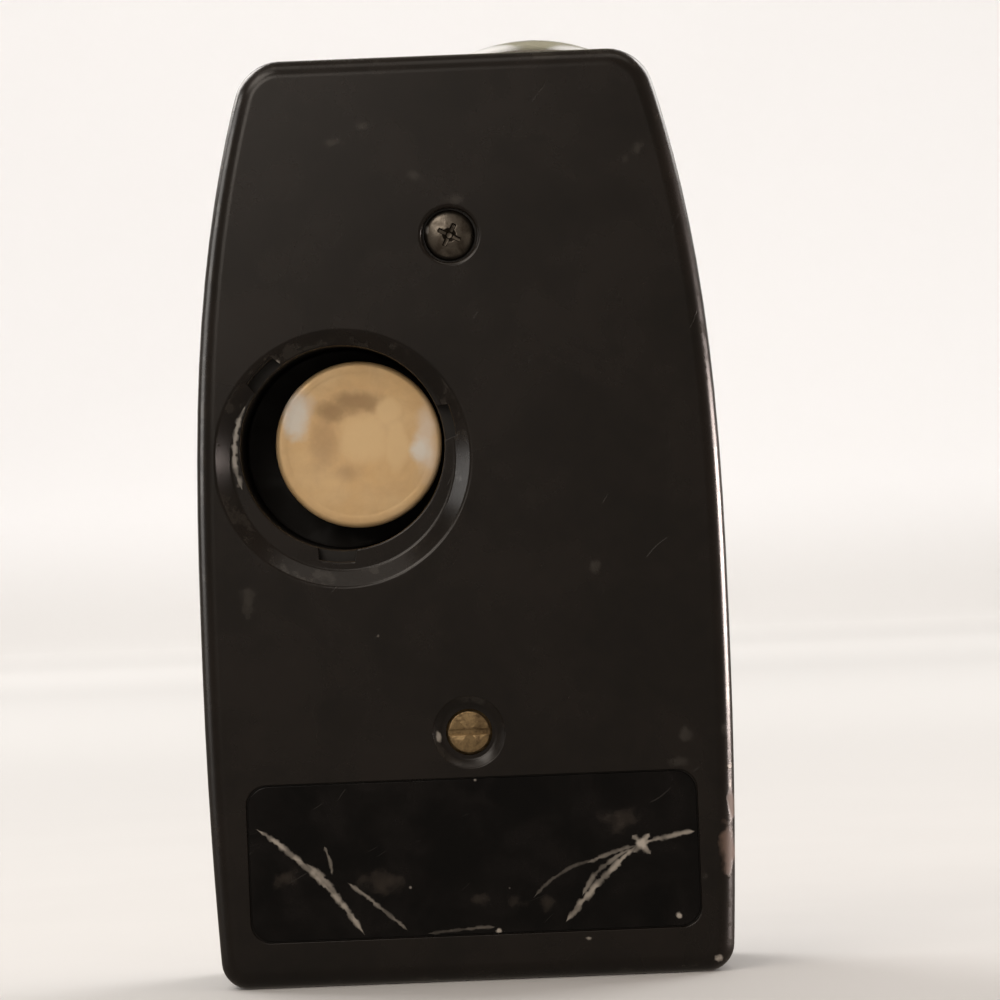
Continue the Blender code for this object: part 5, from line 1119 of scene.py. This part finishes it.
marks = []
on_disc = dial_level(disc_face)
for turn, text in zip(APERTURE_TURNS, APERTURES):
    marks.append(figure(text, 1.6, 12.0, math.radians(turn), on_disc))
    marks.append(tick(0.7, 0.18, 13.75, math.radians(turn), on_disc))
marks.append(tick(1.0, 0.3, 13.6, 0, on_disc))
for low_turn, high_turn in ((52, 180), (-180, -52)):
    marks.append(arc_band("disc_line", 10.3, 10.42, math.radians(low_turn), math.radians(high_turn), on_disc))
disc_print = hand_over_print("disc_print", marks, "film_speed_dial")

marks = [tick(0.62, 0.14, 20.2, FULL_TURN * step / 96, dial_level(dial_high.y)) for step in range(96)]
plate_print = hand_over_print("dial_plate_print", marks, "meter_body")
print("dial print ready")

# %% [markdown]
# ## Finishes
#
# Real surfaces are never one flat colour. Moulded black plastic has faint mottling, a greasy gloss that comes and
# goes, pale rubbed edges, dust and scratches. Each of these effects is a node group that is built once and then used
# in many materials with its own values. All of them read the piece's own coordinates in millimetres, so a scratch
# stays where it is when a piece moves.


# %% Wiring
class Wiring:
    """A shader tree, with a short name for each kind of node that is used again and again."""

    def __init__(self, tree):
        self.tree = tree

    def node(self, kind, sockets, **settings):
        """Adds a node, makes its settings, and sets or links its sockets."""
        added = self.tree.nodes.new("ShaderNode" + kind)
        for key, value in settings.items():
            setattr(added, key, value)
        for key, value in sockets.items():
            if isinstance(value, bpy.types.NodeSocket):
                self.tree.links.new(value, added.inputs[key])
            else:
                added.inputs[key].default_value = value
        return added.outputs

    def sum(self, operation, first, second=0.0):
        """One sum on two numbers."""
        return self.node("Math", {0: first, 1: second}, operation=operation)[0]

    def times(self, first, second):
        return self.sum("MULTIPLY", first, second)

    def plus(self, first, second):
        return self.sum("ADD", first, second)

    def minus(self, first, second):
        return self.sum("SUBTRACT", first, second)

    def vector(self, operation, first, second=(0, 0, 0)):
        """One sum on two vectors."""
        return self.node("VectorMath", {0: first, 1: second}, operation=operation)["Vector"]

    def measure(self, operation, first, second=(0, 0, 0)):
        """A number from one or two vectors: a length or a dot product."""
        return self.node("VectorMath", {0: first, 1: second}, operation=operation)["Value"]

    def noise(self, place, scale, detail, roughness=0.5, distortion=0.0, output="Fac"):
        """Soft random clouds. A larger scale makes them smaller."""
        sockets = {
            "Vector": place, "Scale": scale, "Detail": detail, "Roughness": roughness, "Distortion": distortion,
        }
        return self.node("TexNoise", sockets)[output]

    def ramp(self, value, low, high, to_low=0.0, to_high=1.0):
        """A smooth step: the value from low to high becomes a number from one end to the other."""
        sockets = {"Value": value, "From Min": low, "From Max": high, "To Min": to_low, "To Max": to_high}
        return self.node("MapRange", sockets, interpolation_type="SMOOTHSTEP")["Result"]

    def parts(self, vector):
        """The X, Y and Z of a vector."""
        return self.node("SeparateXYZ", {0: vector})

    def mix(self, share, first, second):
        """Two colours mixed by a mask. A plain colour is three numbers."""
        first, second = ((*colour, 1) if isinstance(colour, tuple) else colour for colour in (first, second))
        return self.node("Mix", {"Factor": share, "A": first, "B": second}, data_type="RGBA")["Result"]

    def tint(self, colour, mask, strength, second):
        """Mixes a second colour in where a mask is, as strongly as told."""
        return self.mix(self.times(mask, strength), colour, second)


class Effect(Wiring):
    """A node group that turns a place and a few values into a mask."""

    def __init__(self, name, **values):
        tree = bpy.data.node_groups.new(name, "ShaderNodeTree")
        for label, value in {"Place": (0, 0, 0), **values}.items():
            kind = "NodeSocketVector" if isinstance(value, tuple) else "NodeSocketFloat"
            tree.interface.new_socket(name=label, in_out="INPUT", socket_type=kind).default_value = value
        tree.interface.new_socket(name="Mask", in_out="OUTPUT", socket_type="NodeSocketFloat")
        super().__init__(tree)
        self.given = tree.nodes.new("NodeGroupInput").outputs
        self.place = self.given["Place"]

    def gives(self, mask):
        """Makes a number the group's mask."""
        self.tree.links.new(mask, self.tree.nodes.new("NodeGroupOutput").inputs["Mask"])
        print("group", self.tree.name)


print("wiring helpers ready")

# %% Mottling
mottling = Effect("mottling", Size=6.0, Roughness=0.6)
clouds = mottling.noise(
    mottling.place, mottling.sum("DIVIDE", 1.0, mottling.given["Size"]), 5.0, mottling.given["Roughness"], 0.4,
)
mottling.gives(mottling.ramp(clouds, 0.31, 0.71))

# %% [markdown]
# Edges wear first. On a smooth round edge the normal turns away from all three axes, so the largest of its three
# parts drops well below one there and nowhere else. A noise then breaks the worn line up.

# %% Edge wear
wear = Effect("edge_wear", Amount=0.5, Start=0.1, Size=1.5)
parts = wear.parts(wear.vector("ABSOLUTE", wear.node("TexCoord", {})["Normal"]))
largest = wear.sum("MAXIMUM", wear.sum("MAXIMUM", parts["X"], parts["Y"]), parts["Z"])
edge_line = wear.ramp(wear.minus(1.0, largest), wear.given["Start"], wear.plus(wear.given["Start"], 0.14))
edge_noise = wear.noise(wear.place, wear.sum("DIVIDE", 1.0, wear.given["Size"]), 6.0, 0.65)
limit = wear.minus(0.85, wear.times(wear.given["Amount"], 0.55))
wear.gives(wear.times(edge_line, wear.ramp(edge_noise, limit, wear.plus(limit, 0.09))))

# %% Specks
dust = Effect("specks", Spacing=3.0, Size=0.08, Share=0.25)
spacing = dust.given["Spacing"]
cells = dust.node("TexVoronoi", {"Vector": dust.place, "Scale": dust.sum("DIVIDE", 1.0, spacing), "Randomness": 1.0})
chance = dust.node("SeparateColor", {0: cells["Color"]})
reach = dust.times(dust.sum("DIVIDE", dust.given["Size"], spacing), chance["Green"])
dot = dust.ramp(cells["Distance"], reach, dust.times(reach, 0.5))
dust.gives(dust.times(dot, dust.sum("LESS_THAN", chance["Red"], dust.given["Share"])))

# %% Fine scratches
hair = Effect("fine_scratches", Turn=0.6, Length=9.0, Amount=0.5)
warp = hair.noise(hair.place, 0.12, 1.0, output="Color")
bent = hair.vector("ADD", hair.place, hair.vector("MULTIPLY", warp, (5.0, 5.0, 5.0)))
turning = hair.node("VectorRotate", {"Vector": bent, "Angle": hair.given["Turn"]}, rotation_type="Y_AXIS")["Vector"]
thin = hair.node("CombineXYZ", {"X": hair.sum("DIVIDE", 1.0, hair.given["Length"]), "Y": 0.35, "Z": 3.6})[0]
line_noise = hair.noise(hair.vector("MULTIPLY", turning, thin), 1.0, 2.0)
limit = hair.minus(0.80, hair.times(hair.given["Amount"], 0.12))
hair.gives(hair.ramp(line_noise, limit, hair.plus(limit, 0.03)))

# %% One long line, for scratches and a painted highlight
scratch_and_glint = Effect("long_scratch_and_glint", From=(0, 0, 0), To=(1, 0, 1), Bow=0.0, Width=0.2)
start, end, here = (scratch_and_glint.vector("MULTIPLY", scratch_and_glint.given[key], (1.0, 0.0, 1.0)) for key in ("From", "To", "Place"))
run, from_start = scratch_and_glint.vector("SUBTRACT", end, start), scratch_and_glint.vector("SUBTRACT", here, start)
DOT = "DOT_PRODUCT"
share = scratch_and_glint.sum("DIVIDE", scratch_and_glint.measure(DOT, from_start, run), scratch_and_glint.measure(DOT, run, run))
across = scratch_and_glint.vector("NORMALIZE", scratch_and_glint.vector("CROSS_PRODUCT", run, (0.0, 1.0, 0.0)))
arch = scratch_and_glint.times(scratch_and_glint.times(share, scratch_and_glint.minus(1.0, share)), 4.0)
wobble = scratch_and_glint.times(scratch_and_glint.minus(scratch_and_glint.noise(scratch_and_glint.place, 0.5, 4.0), 0.5), 0.25)
bow = scratch_and_glint.plus(scratch_and_glint.times(arch, scratch_and_glint.given["Bow"]), wobble)
away = scratch_and_glint.sum("ABSOLUTE", scratch_and_glint.minus(scratch_and_glint.measure(DOT, from_start, across), bow))
ends = scratch_and_glint.times(scratch_and_glint.ramp(share, 0.0, 0.12), scratch_and_glint.ramp(share, 1.0, 0.88))
uneven = scratch_and_glint.ramp(scratch_and_glint.noise(scratch_and_glint.place, 1.7, 3.0), 0.3, 0.65, 0.45, 1.25)
width = scratch_and_glint.times(scratch_and_glint.times(scratch_and_glint.given["Width"], uneven), ends)
line = scratch_and_glint.ramp(away, width, scratch_and_glint.times(width, 0.15))
line = scratch_and_glint.times(line, scratch_and_glint.ramp(scratch_and_glint.noise(scratch_and_glint.place, 0.55, 2.0), 0.36, 0.56, 0.45, 1.0))
scratch_and_glint.gives(scratch_and_glint.times(line, scratch_and_glint.sum("GREATER_THAN", ends, 0.0)))

# %% [markdown]
# Wear that sits in one place, such as a chip, a smudge or a stain, is an oval with a ragged rim. Painted highlights
# and reflections on the casing, the screw and the battery are such ovals too. The same group makes all of them, and a
# list says where they go.

# %% One spot: wear, a stain, a painted highlight
spot = Effect("worn_and_highlight_spot", Centre=(0, 0, 0), Reach=(1, 1, 1), Softness=0.5, Ragged=0.5, Grain=1.0)
in_reach = spot.vector("DIVIDE", spot.vector("SUBTRACT", spot.place, spot.given["Centre"]), spot.given["Reach"])
rag = spot.minus(spot.noise(spot.place, spot.given["Grain"], 4.0), 0.5)
rag = spot.times(spot.times(rag, spot.given["Ragged"]), 2.0)
ragged = spot.plus(spot.measure("LENGTH", in_reach), rag)
spot.gives(spot.ramp(ragged, 1.0, spot.minus(1.0, spot.given["Softness"])))

# %% A new material
finishes = {}


class Finish(Wiring):
    """A material named after its slot, with the plain numbers set on the shader itself."""

    def __init__(self, name, metallic=0.0, specular=0.5):
        material = bpy.data.materials.new(name + "_finish")
        material.use_nodes = True
        super().__init__(material.node_tree)
        finishes[name] = material
        self.shader = self.tree.nodes["Principled BSDF"].inputs
        self.shader["Metallic"].default_value = metallic
        self.shader["Specular IOR Level"].default_value = specular
        self.shader["Coat Roughness"].default_value = 0.03
        coordinates = self.node("TexCoord", {})["Object"]
        self.place = self.node("VectorMath", {0: coordinates, "Scale": 1 / MM}, operation="SCALE")["Vector"]

    def mask(self, effect, **values):
        """Places an effect with its own values. Returns its mask."""
        return self.node("Group", {"Place": self.place, **values}, node_tree=effect.tree)["Mask"]

    def clouds(self, size, roughness):
        """Mottling of a size in millimetres."""
        return self.mask(mottling, Size=size, Roughness=roughness)

    def specks(self, spacing, size, share):
        """Dust or pits."""
        return self.mask(dust, Spacing=spacing, Size=size, Share=share)

    def hairlines(self, turn, length, amount):
        """Fine scratches that run one way."""
        return self.mask(hair, Turn=turn, Length=length, Amount=amount)

    def spotted(self, colour, second, strength, ovals, softness, ragged, grain):
        """Mixes a second colour in at ovals. Returns the colour and the mask of all the ovals."""
        total = None
        for oval in ovals:
            mask = self.mask(spot, Centre=oval[:3], Reach=oval[3:], Softness=softness, Ragged=ragged, Grain=grain)
            total = mask if total is None else self.sum("MAXIMUM", total, mask)
        return self.tint(colour, total, strength, second), total

    def join_up(self, colour, roughness=None, height=None, depth=0.02, metallic=None):
        """Links colour, roughness and bump height to the shader. The depth is in millimetres."""
        bump = None
        if height is not None:
            bump = self.node("Bump", {"Height": height, "Strength": 1.0, "Distance": depth * MM})["Normal"]
        joints = {"Base Color": colour, "Roughness": roughness, "Metallic": metallic, "Normal": bump}
        for key, value in joints.items():
            if value is not None:
                self.tree.links.new(value, self.shader[key])


print("finish helpers ready")

# %% [markdown]
# ### Black moulded plastic
#
# The casing is a warm black plastic with a satin gloss. Its long edges are rubbed paler, and at the lower right the
# edge is chipped down to a dull brown. Faint grease marks change the gloss, and a few specks of dust lie on it. Some
# bright nicks are painted glints, at the dish's left and at a notch's corner, and a pale line down the battery well's
# left lip is a painted highlight. Each oval in a list holds its middle's X, Y and Z and its reach along them.

# %% Black casing
SMUDGES = (
    (-7.7, -11, 79.6, 1.0, 3, 0.5), (-10.8, -11, 78.1, 1.2, 3, 0.6), (-3.1, -11, 74.9, 1.0, 3, 0.7),
    (0.7, -11, 72.4, 1.4, 3, 0.8), (17.8, -11, 76.6, 0.7, 3, 0.9), (16.5, -11, 75.5, 0.5, 3, 0.5),
    (19.2, -11, 19.5, 1.3, 3, 0.7), (20.0, -11, 22.3, 0.8, 3, 1.1), (21.4, -11, 8.9, 0.6, 3, 0.6),
    (12.2, -11, 38.0, 0.8, 3, 0.8), (-20.0, -11, 36.0, 0.8, 3, 1.8), (23.6, -10.4, 22.6, 0.6, 2, 0.8),
)
CHIPS = ((23.55, -10, 11.5, 1.0, 3, 2.7), (24.0, -10, 15.4, 0.42, 3, 1.9))
# Pale nicks on the edges. The ovals at a notch's corner and at the dish's left are painted glints.
NICKS_AND_GLINTS = (
    (24.0, -10.5, 19.0, 0.3, 2, 0.35), (22.25, -10.5, 1.3, 0.45, 2, 0.42), (24.0, -10, 17.3, 0.22, 2, 0.5),
    (24.1, -10, 25.6, 0.22, 2, 1.3), (-16.4, -9.8, 57.9, 0.25, 1, 0.5), (-15.9, -9.8, 57.0, 0.3, 1, 0.4),
    (-2.85, -10.7, 22.75, 0.28, 2, 0.65), (10.3, -10.5, 3.6, 0.45, 2, 0.2),
)
casing = Finish("black_case")
cloud, fine_cloud = casing.clouds(11.0, 0.62), casing.clouds(1.6, 0.7)
rubbed, hairlines = casing.mask(wear, Amount=0.62, Start=0.07, Size=2.4), casing.hairlines(0.9, 7.0, 0.4)
colour = casing.mix(cloud, (0.0050, 0.0036, 0.0025), (0.0092, 0.0056, 0.0036))
colour = casing.tint(colour, fine_cloud, 0.35, (0.0125, 0.0085, 0.0058))
colour = casing.tint(colour, rubbed, 0.32, (0.055, 0.048, 0.040))
colour = casing.tint(colour, casing.specks(4.2, 0.42, 0.16), 0.5, (0.16, 0.14, 0.12))
colour = casing.tint(colour, hairlines, 0.12, (0.10, 0.09, 0.08))
colour, _ = casing.spotted(colour, (0.050, 0.044, 0.037), 0.55, SMUDGES, 0.95, 1.1, 0.8)
colour, chipped = casing.spotted(colour, (0.120, 0.074, 0.052), 0.9, CHIPS, 0.65, 0.75, 0.9)
# Pale nicks, with painted glints at the dish's left and at the notch's corner.
colour, _ = casing.spotted(colour, (0.42, 0.38, 0.33), 0.85, NICKS_AND_GLINTS, 0.7, 0.7, 2.4)
# A painted highlight: a pale line down the left lip of the battery well, kept to the face.
lip_highlight = casing.mask(scratch_and_glint, From=(-19.5, 0, 54.2), To=(-20.1, 0, 46.3), Bow=-0.95, Width=0.34)
lip_highlight = casing.times(lip_highlight, casing.ramp(casing.parts(casing.place)["Y"], -7.0, -8.5))
colour = casing.tint(colour, lip_highlight, 0.8, (0.42, 0.39, 0.35))
roughness = casing.minus(casing.ramp(cloud, 0.0, 1.0, 0.25, 0.285), casing.times(rubbed, 0.08))
roughness = casing.plus(roughness, casing.times(chipped, 0.30))
height = casing.minus(casing.times(fine_cloud, 0.12), casing.times(hairlines, 0.4))
casing.join_up(colour, roughness, casing.minus(height, casing.times(chipped, 1.5)), 0.012)
print("black casing ready")

# %% [markdown]
# The label plate is deeper black and badly scratched. Each scratch in the list holds the X and Z of its two ends, how
# far it bows, its width and its strength.

# %% Label plate finish
SCARS = (
    (-20.2, 15.0, -10.3, 4.6, 0.75, 0.34, 1.0), (-15.6, 11.6, -12.2, 7.2, 0.25, 0.42, 0.9),
    (-11.9, 9.7, -6.4, 4.9, 0.15, 0.26, 0.6), (-13.8, 13.1, -13.2, 10.4, 0.1, 0.20, 0.45),
    (8.2, 5.1, 15.3, 12.1, 0.3, 0.40, 1.0), (9.8, 7.5, 14.8, 11.7, 0.7, 0.32, 0.55),
    (15.0, 12.0, 20.6, 13.1, 0.15, 0.30, 0.85), (5.3, 7.5, 11.2, 10.9, 0.6, 0.22, 0.22),
    (10.4, 10.6, 15.4, 12.0, 0.15, 0.26, 0.5), (14.7, 13.0, 16.4, 11.1, 0.0, 0.38, 0.9),
    (14.8, 11.3, 16.3, 13.1, 0.0, 0.36, 0.9), (-4.6, 4.6, 1.8, 5.0, 0.1, 0.20, 0.3),
)
LABEL_SMUDGES = (
    (3.6, -10.5, 7.2, 1.0, 2, 0.9), (6.5, -10.5, 6.9, 0.9, 2, 0.9), (0.4, -10.5, 7.6, 1.1, 2, 0.8),
    (13.4, -10.5, 14.6, 2.2, 2, 1.4), (-8.5, -10.5, 9.5, 2.8, 2, 1.4), (-17.5, -10.5, 10.2, 1.6, 2, 1.2),
)
LABEL_NICKS = (
    (18.75, -10.5, 5.35, 0.34, 2, 0.34), (2.0, -10.5, 4.6, 0.42, 2, 0.32), (15.5, -10.5, 12.15, 0.65, 2, 0.6),
    (-15.7, -10.5, 3.75, 0.25, 2, 0.3),
)
label = Finish("label_black", specular=0.3)
cloud = label.clouds(5.0, 0.6)
colour = label.mix(cloud, (0.0016, 0.0015, 0.0016), (0.0050, 0.0036, 0.0032))
scars = None
for from_x, from_z, to_x, to_z, bow, width, strength in SCARS:
    scar = label.mask(scratch_and_glint, From=(from_x, 0, from_z), To=(to_x, 0, to_z), Bow=bow, Width=width)
    scar = label.times(scar, strength)
    scars = scar if scars is None else label.sum("MAXIMUM", scars, scar)
colour = label.tint(colour, scars, 0.85, (0.46, 0.41, 0.35))
colour, _ = label.spotted(colour, (0.050, 0.040, 0.032), 0.6, LABEL_SMUDGES, 0.95, 0.9, 0.8)
colour, _ = label.spotted(colour, (0.52, 0.47, 0.41), 0.9, LABEL_NICKS, 0.7, 0.6, 2.0)
colour = label.tint(colour, label.hairlines(0.5, 6.0, 0.7), 0.15, (0.12, 0.11, 0.10))
colour = label.tint(colour, label.specks(3.1, 0.40, 0.14), 0.7, (0.30, 0.27, 0.24))
roughness = label.plus(label.ramp(cloud, 0.0, 1.0, 0.16, 0.28), label.times(scars, 0.4))
label.join_up(colour, roughness, label.times(scars, -1.0), 0.03)
print("label finish ready")

# %% Worn battery metal with painted highlights and reflections
CRESCENT = ((-9.3, -5, 54.1, 3.5, 9, 1.7), (-11.8, -5, 53.4, 2.4, 9, 1.4))
SHADES = ((-12.3, -5, 50.4, 2.0, 9, 3.8), (-10.6, -5, 47.6, 2.2, 9, 1.4))
# Painted reflections: a lighter disc in the middle and warm patches towards the right.
PAINTED_REFLECTIONS = ((-8.8, -5, 50.6, 2.8, 9, 2.9), (-5.8, -5, 50.0, 1.3, 9, 3.2), (-6.4, -5, 53.2, 1.5, 9, 1.6))
# Painted highlights at the can's left and right edges.
SIDE_HIGHLIGHTS = ((-14.9, -5, 53.8, 2.0, 9, 3.0), (-3.0, -5, 50.2, 1.5, 9, 4.8))
PALE_HIGHLIGHTS = ((-15.2, -5, 52.9, 1.7, 9, 2.8), (-3.5, -5, 49.4, 1.2, 9, 1.9))
cell = Finish("battery_steel", metallic=0.35)
cloud, stain = cell.clouds(4.5, 0.55), cell.clouds(2.2, 0.6)
colour = cell.mix(cloud, (0.93, 0.62, 0.30), (1.0, 0.71, 0.38))
colour = cell.tint(colour, stain, 0.25, (0.62, 0.41, 0.22))
colour, _ = cell.spotted(colour, (0.44, 0.27, 0.13), 0.75, CRESCENT, 0.8, 0.5, 0.6)
colour, _ = cell.spotted(colour, (0.50, 0.31, 0.17), 0.45, SHADES, 0.9, 0.6, 0.5)
# Painted reflection in the middle, then painted highlights at the left and right, where the metal is lowered.
colour, _ = cell.spotted(colour, (1.0, 0.72, 0.39), 0.8, PAINTED_REFLECTIONS, 0.5, 0.3, 0.5)
colour, painted_highlight = cell.spotted(colour, (0.96, 0.78, 0.60), 0.9, SIDE_HIGHLIGHTS, 0.8, 0.5, 0.6)
colour, _ = cell.spotted(colour, (1.0, 0.92, 0.80), 1.0, PALE_HIGHLIGHTS, 0.8, 0.6, 0.7)
shine = cell.minus(0.35, cell.times(painted_highlight, 0.33))
cell.join_up(colour, cell.ramp(stain, 0.0, 1.0, 0.34, 0.50), stain, 0.006, shine)
print("battery metal ready")

# %% Screw steel and brass
GLINT = ((-2.05, -11, 69.75, 0.24, 3, 0.5),)
screw = Finish("dark_steel", metallic=1.0)
cloud = screw.clouds(1.4, 0.65)
colour = screw.mix(cloud, (0.26, 0.235, 0.20), (0.09, 0.075, 0.06))
colour, _ = screw.spotted(colour, (0.85, 0.82, 0.78), 0.9, GLINT, 0.6, 0.3, 2.0)
screw.join_up(colour, screw.ramp(cloud, 0.0, 1.0, 0.26, 0.5), cloud, 0.008)

brass = Finish("brass", metallic=0.9)
cloud = brass.clouds(1.2, 0.7)
colour = brass.mix(cloud, (0.52, 0.37, 0.19), (0.13, 0.085, 0.045))
brass.join_up(colour, brass.ramp(cloud, 0.0, 1.0, 0.30, 0.5), cloud, 0.01)
print("screw steel and brass ready")

# %% Chrome
chrome = Finish("chrome", metallic=1.0)
cloud, pits = chrome.clouds(3.0, 0.6), chrome.specks(0.8, 0.10, 0.3)
colour = chrome.mix(cloud, (0.86, 0.85, 0.81), (0.76, 0.75, 0.70))
colour = chrome.tint(colour, pits, 0.7, (0.20, 0.17, 0.14))
roughness = chrome.plus(chrome.ramp(cloud, 0.0, 1.0, 0.10, 0.20), chrome.times(pits, 0.3))
chrome.join_up(colour, roughness, pits, -0.01)
print("chrome ready")


# %% Brushed and turned aluminium
def grained(finish, grain_place, second, streak, depth):
    """Aluminium whose grain follows the lines of a noise that is stretched one way."""
    grain = finish.noise(grain_place, 1.0, 5.0)
    colour = finish.mix(finish.clouds(7.0, 0.5), (0.66, 0.65, 0.62), second)
    colour = finish.mix(finish.ramp(grain, 0.4, 0.65), colour, streak)
    finish.join_up(colour, finish.ramp(grain, 0.3, 0.7, 0.24, 0.42), grain, depth)


brushed = Finish("satin_aluminium", metallic=1.0)
brushed_place = brushed.vector("MULTIPLY", brushed.place, (0.10, 1.0, 14.0))
grained(brushed, brushed_place, (0.56, 0.55, 0.52), (0.48, 0.47, 0.44), 0.008)

lathed = Finish("turned_aluminium", metallic=1.0)
from_axis = lathed.vector("SUBTRACT", lathed.place, DIAL_PLACE)
from_axis = lathed.vector("MULTIPLY", from_axis, (1.0, 0.0, 1.0))
rings_out = lathed.node("CombineXYZ", {"Y": lathed.times(lathed.measure("LENGTH", from_axis), 11.0)})[0]
lathed_place = lathed.vector("ADD", lathed.vector("NORMALIZE", from_axis), rings_out)
grained(lathed, lathed_place, (0.57, 0.56, 0.53), (0.50, 0.49, 0.46), 0.010)
print("aluminium ready")

# %% Clear plastic and lens glass
window = Finish("clear_plastic")
window.shader["Transmission Weight"].default_value = 1.0
window.shader["IOR"].default_value = 1.49
hairlines, smear = window.hairlines(0.7, 8.0, 0.5), window.clouds(6.0, 0.5)
colour = window.mix(smear, (0.95, 0.96, 0.95), (0.90, 0.91, 0.89))
roughness = window.plus(window.ramp(smear, 0.0, 1.0, 0.01, 0.05), window.times(hairlines, 0.2))
window.join_up(colour, roughness, hairlines, -0.004)

lens = Finish("lens_glass")
smear = lens.clouds(1.8, 0.5)
colour = lens.mix(smear, (0.16, 0.17, 0.12), (0.24, 0.24, 0.19))
lens.join_up(colour, lens.ramp(smear, 0.0, 1.0, 0.08, 0.2), smear, 0.004)
print("clear plastic and lens glass ready")

# %% Printed scale
scale = Finish("scale_white", specular=0.4)
cloud = scale.clouds(5.0, 0.6)
colour = scale.mix(cloud, (0.72, 0.69, 0.60), (0.62, 0.58, 0.48))
colour = scale.tint(colour, scale.specks(2.5, 0.12, 0.2), 0.5, (0.30, 0.26, 0.20))
scale.join_up(colour, scale.ramp(cloud, 0.0, 1.0, 0.42, 0.55), cloud, 0.004)
print("scale finish ready")


# %% Inside finishes
def plain_finish(name, first, second, rough, size, metallic=0.0, depth=0.01):
    """A simple mottled finish for a piece inside the casing."""
    plain = Finish(name, metallic)
    cloud, lighter = plain.clouds(size, 0.65), tuple(min(1.0, part * 1.8 + 0.01) for part in second)
    colour = plain.mix(cloud, first, second)
    colour = plain.tint(colour, plain.mask(wear, Amount=0.6, Start=0.1, Size=0.8), 0.5, lighter)
    colour = plain.tint(colour, plain.specks(1.4, 0.1, 0.2), 0.4, lighter)
    plain.join_up(colour, plain.ramp(cloud, 0.0, 1.0, *rough), cloud, depth)


plain_finish("inner_black", (0.010, 0.009, 0.008), (0.018, 0.015, 0.012), (0.5, 0.7), 3.0)
plain_finish("board_brown", (0.20, 0.10, 0.04), (0.26, 0.14, 0.06), (0.45, 0.6), 2.0)
plain_finish("ink_black", (0.012, 0.011, 0.010), (0.022, 0.020, 0.018), (0.4, 0.6), 1.0)
plain_finish("copper", (0.60, 0.25, 0.11), (0.45, 0.17, 0.08), (0.25, 0.4), 0.4, 1.0, 0.02)
plain_finish("iron", (0.26, 0.25, 0.24), (0.34, 0.33, 0.31), (0.4, 0.6), 1.2, 0.9)
plain_finish("pointer_red", (0.50, 0.045, 0.025), (0.60, 0.07, 0.03), (0.3, 0.45), 2.0)
plain_finish("cell_red", (0.20, 0.05, 0.02), (0.28, 0.09, 0.04), (0.2, 0.35), 0.8)
print(len(finishes), "finishes")

# %% [markdown]
# The floor is graded in a few soft steps towards the back and the sides, so that the uneven light on it still gives
# one plain tone in the picture.

# %% Floor finish
FLOOR_STEPS = ((-50.0, 450.0, 0.50), (780.0, 1000.0, 0.615), (1020.0, 1230.0, 0.74))
ground = Finish("studio_floor", specular=0.0)
cloud, spread = ground.clouds(60.0, 0.5), ground.parts(ground.place)
colour = ground.mix(cloud, (0.66, 0.66, 0.66), (0.68, 0.68, 0.68))
for near_y, far_y, grey in FLOOR_STEPS:
    colour = ground.mix(ground.ramp(spread["Y"], near_y, far_y), colour, (grey, grey, grey))
sideways = ground.ramp(ground.sum("ABSOLUTE", spread["X"]), 350.0, 1100.0)
colour = ground.mix(sideways, colour, (0.92, 0.92, 0.92))
ground.join_up(colour, ground.ramp(cloud, 0.0, 1.0, 0.95, 1.0))

sky = Finish("studio_backdrop", specular=0.0)
sky.join_up(sky.mix(sky.ramp(sky.parts(sky.place)["Z"], 0.0, 50.0), (0.74, 0.74, 0.74), (0.90, 0.91, 0.93)))
sky.shader["Roughness"].default_value = 1.0

card = Finish("grey_card", specular=0.1)
card.join_up(card.mix(card.clouds(40.0, 0.5), (0.27, 0.26, 0.20), (0.31, 0.30, 0.23)))
for sheet, name in ((floor, "studio_floor"), (backdrop, "studio_backdrop"), (grey_card, "grey_card")):
    sheet.data.materials.append(finishes.pop(name))
print("floor, backdrop and card finished")

# %% Dress every piece
dressed = {
    "black_case": (back_cover, front_case, exposure_ring),
    "label_black": (label_plate,),
    "dark_steel": (cover_screw,),
    "brass": (zero_adjuster,),
    "battery_steel": (battery_can, battery_cap),
    "inner_black": (battery_cup,),
    "chrome": (cell_bezel, dial_screw, reading_button, range_slider),
    "lens_glass": (cell_lens,),
    "satin_aluminium": (face_plate,),
    "turned_aluminium": (dial_plate, film_speed_disc),
    "clear_plastic": (meter_window,),
    "scale_white": (scale_plate, ring_print),
    "ink_black": (scale_print, disc_print, plate_print),
    "pointer_red": (scale_print_red,),
}
for finish, pieces in dressed.items():
    for piece in pieces:
        piece.data.materials.clear()
        piece.data.materials.append(finishes[finish])
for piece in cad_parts.values():
    for slot in piece.material_slots:
        slot.material = finishes[slot.material.name.split(".")[0]]
print("dressed", sum(len(pieces) for pieces in dressed.values()), "new pieces and", len(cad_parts), "frame pieces")
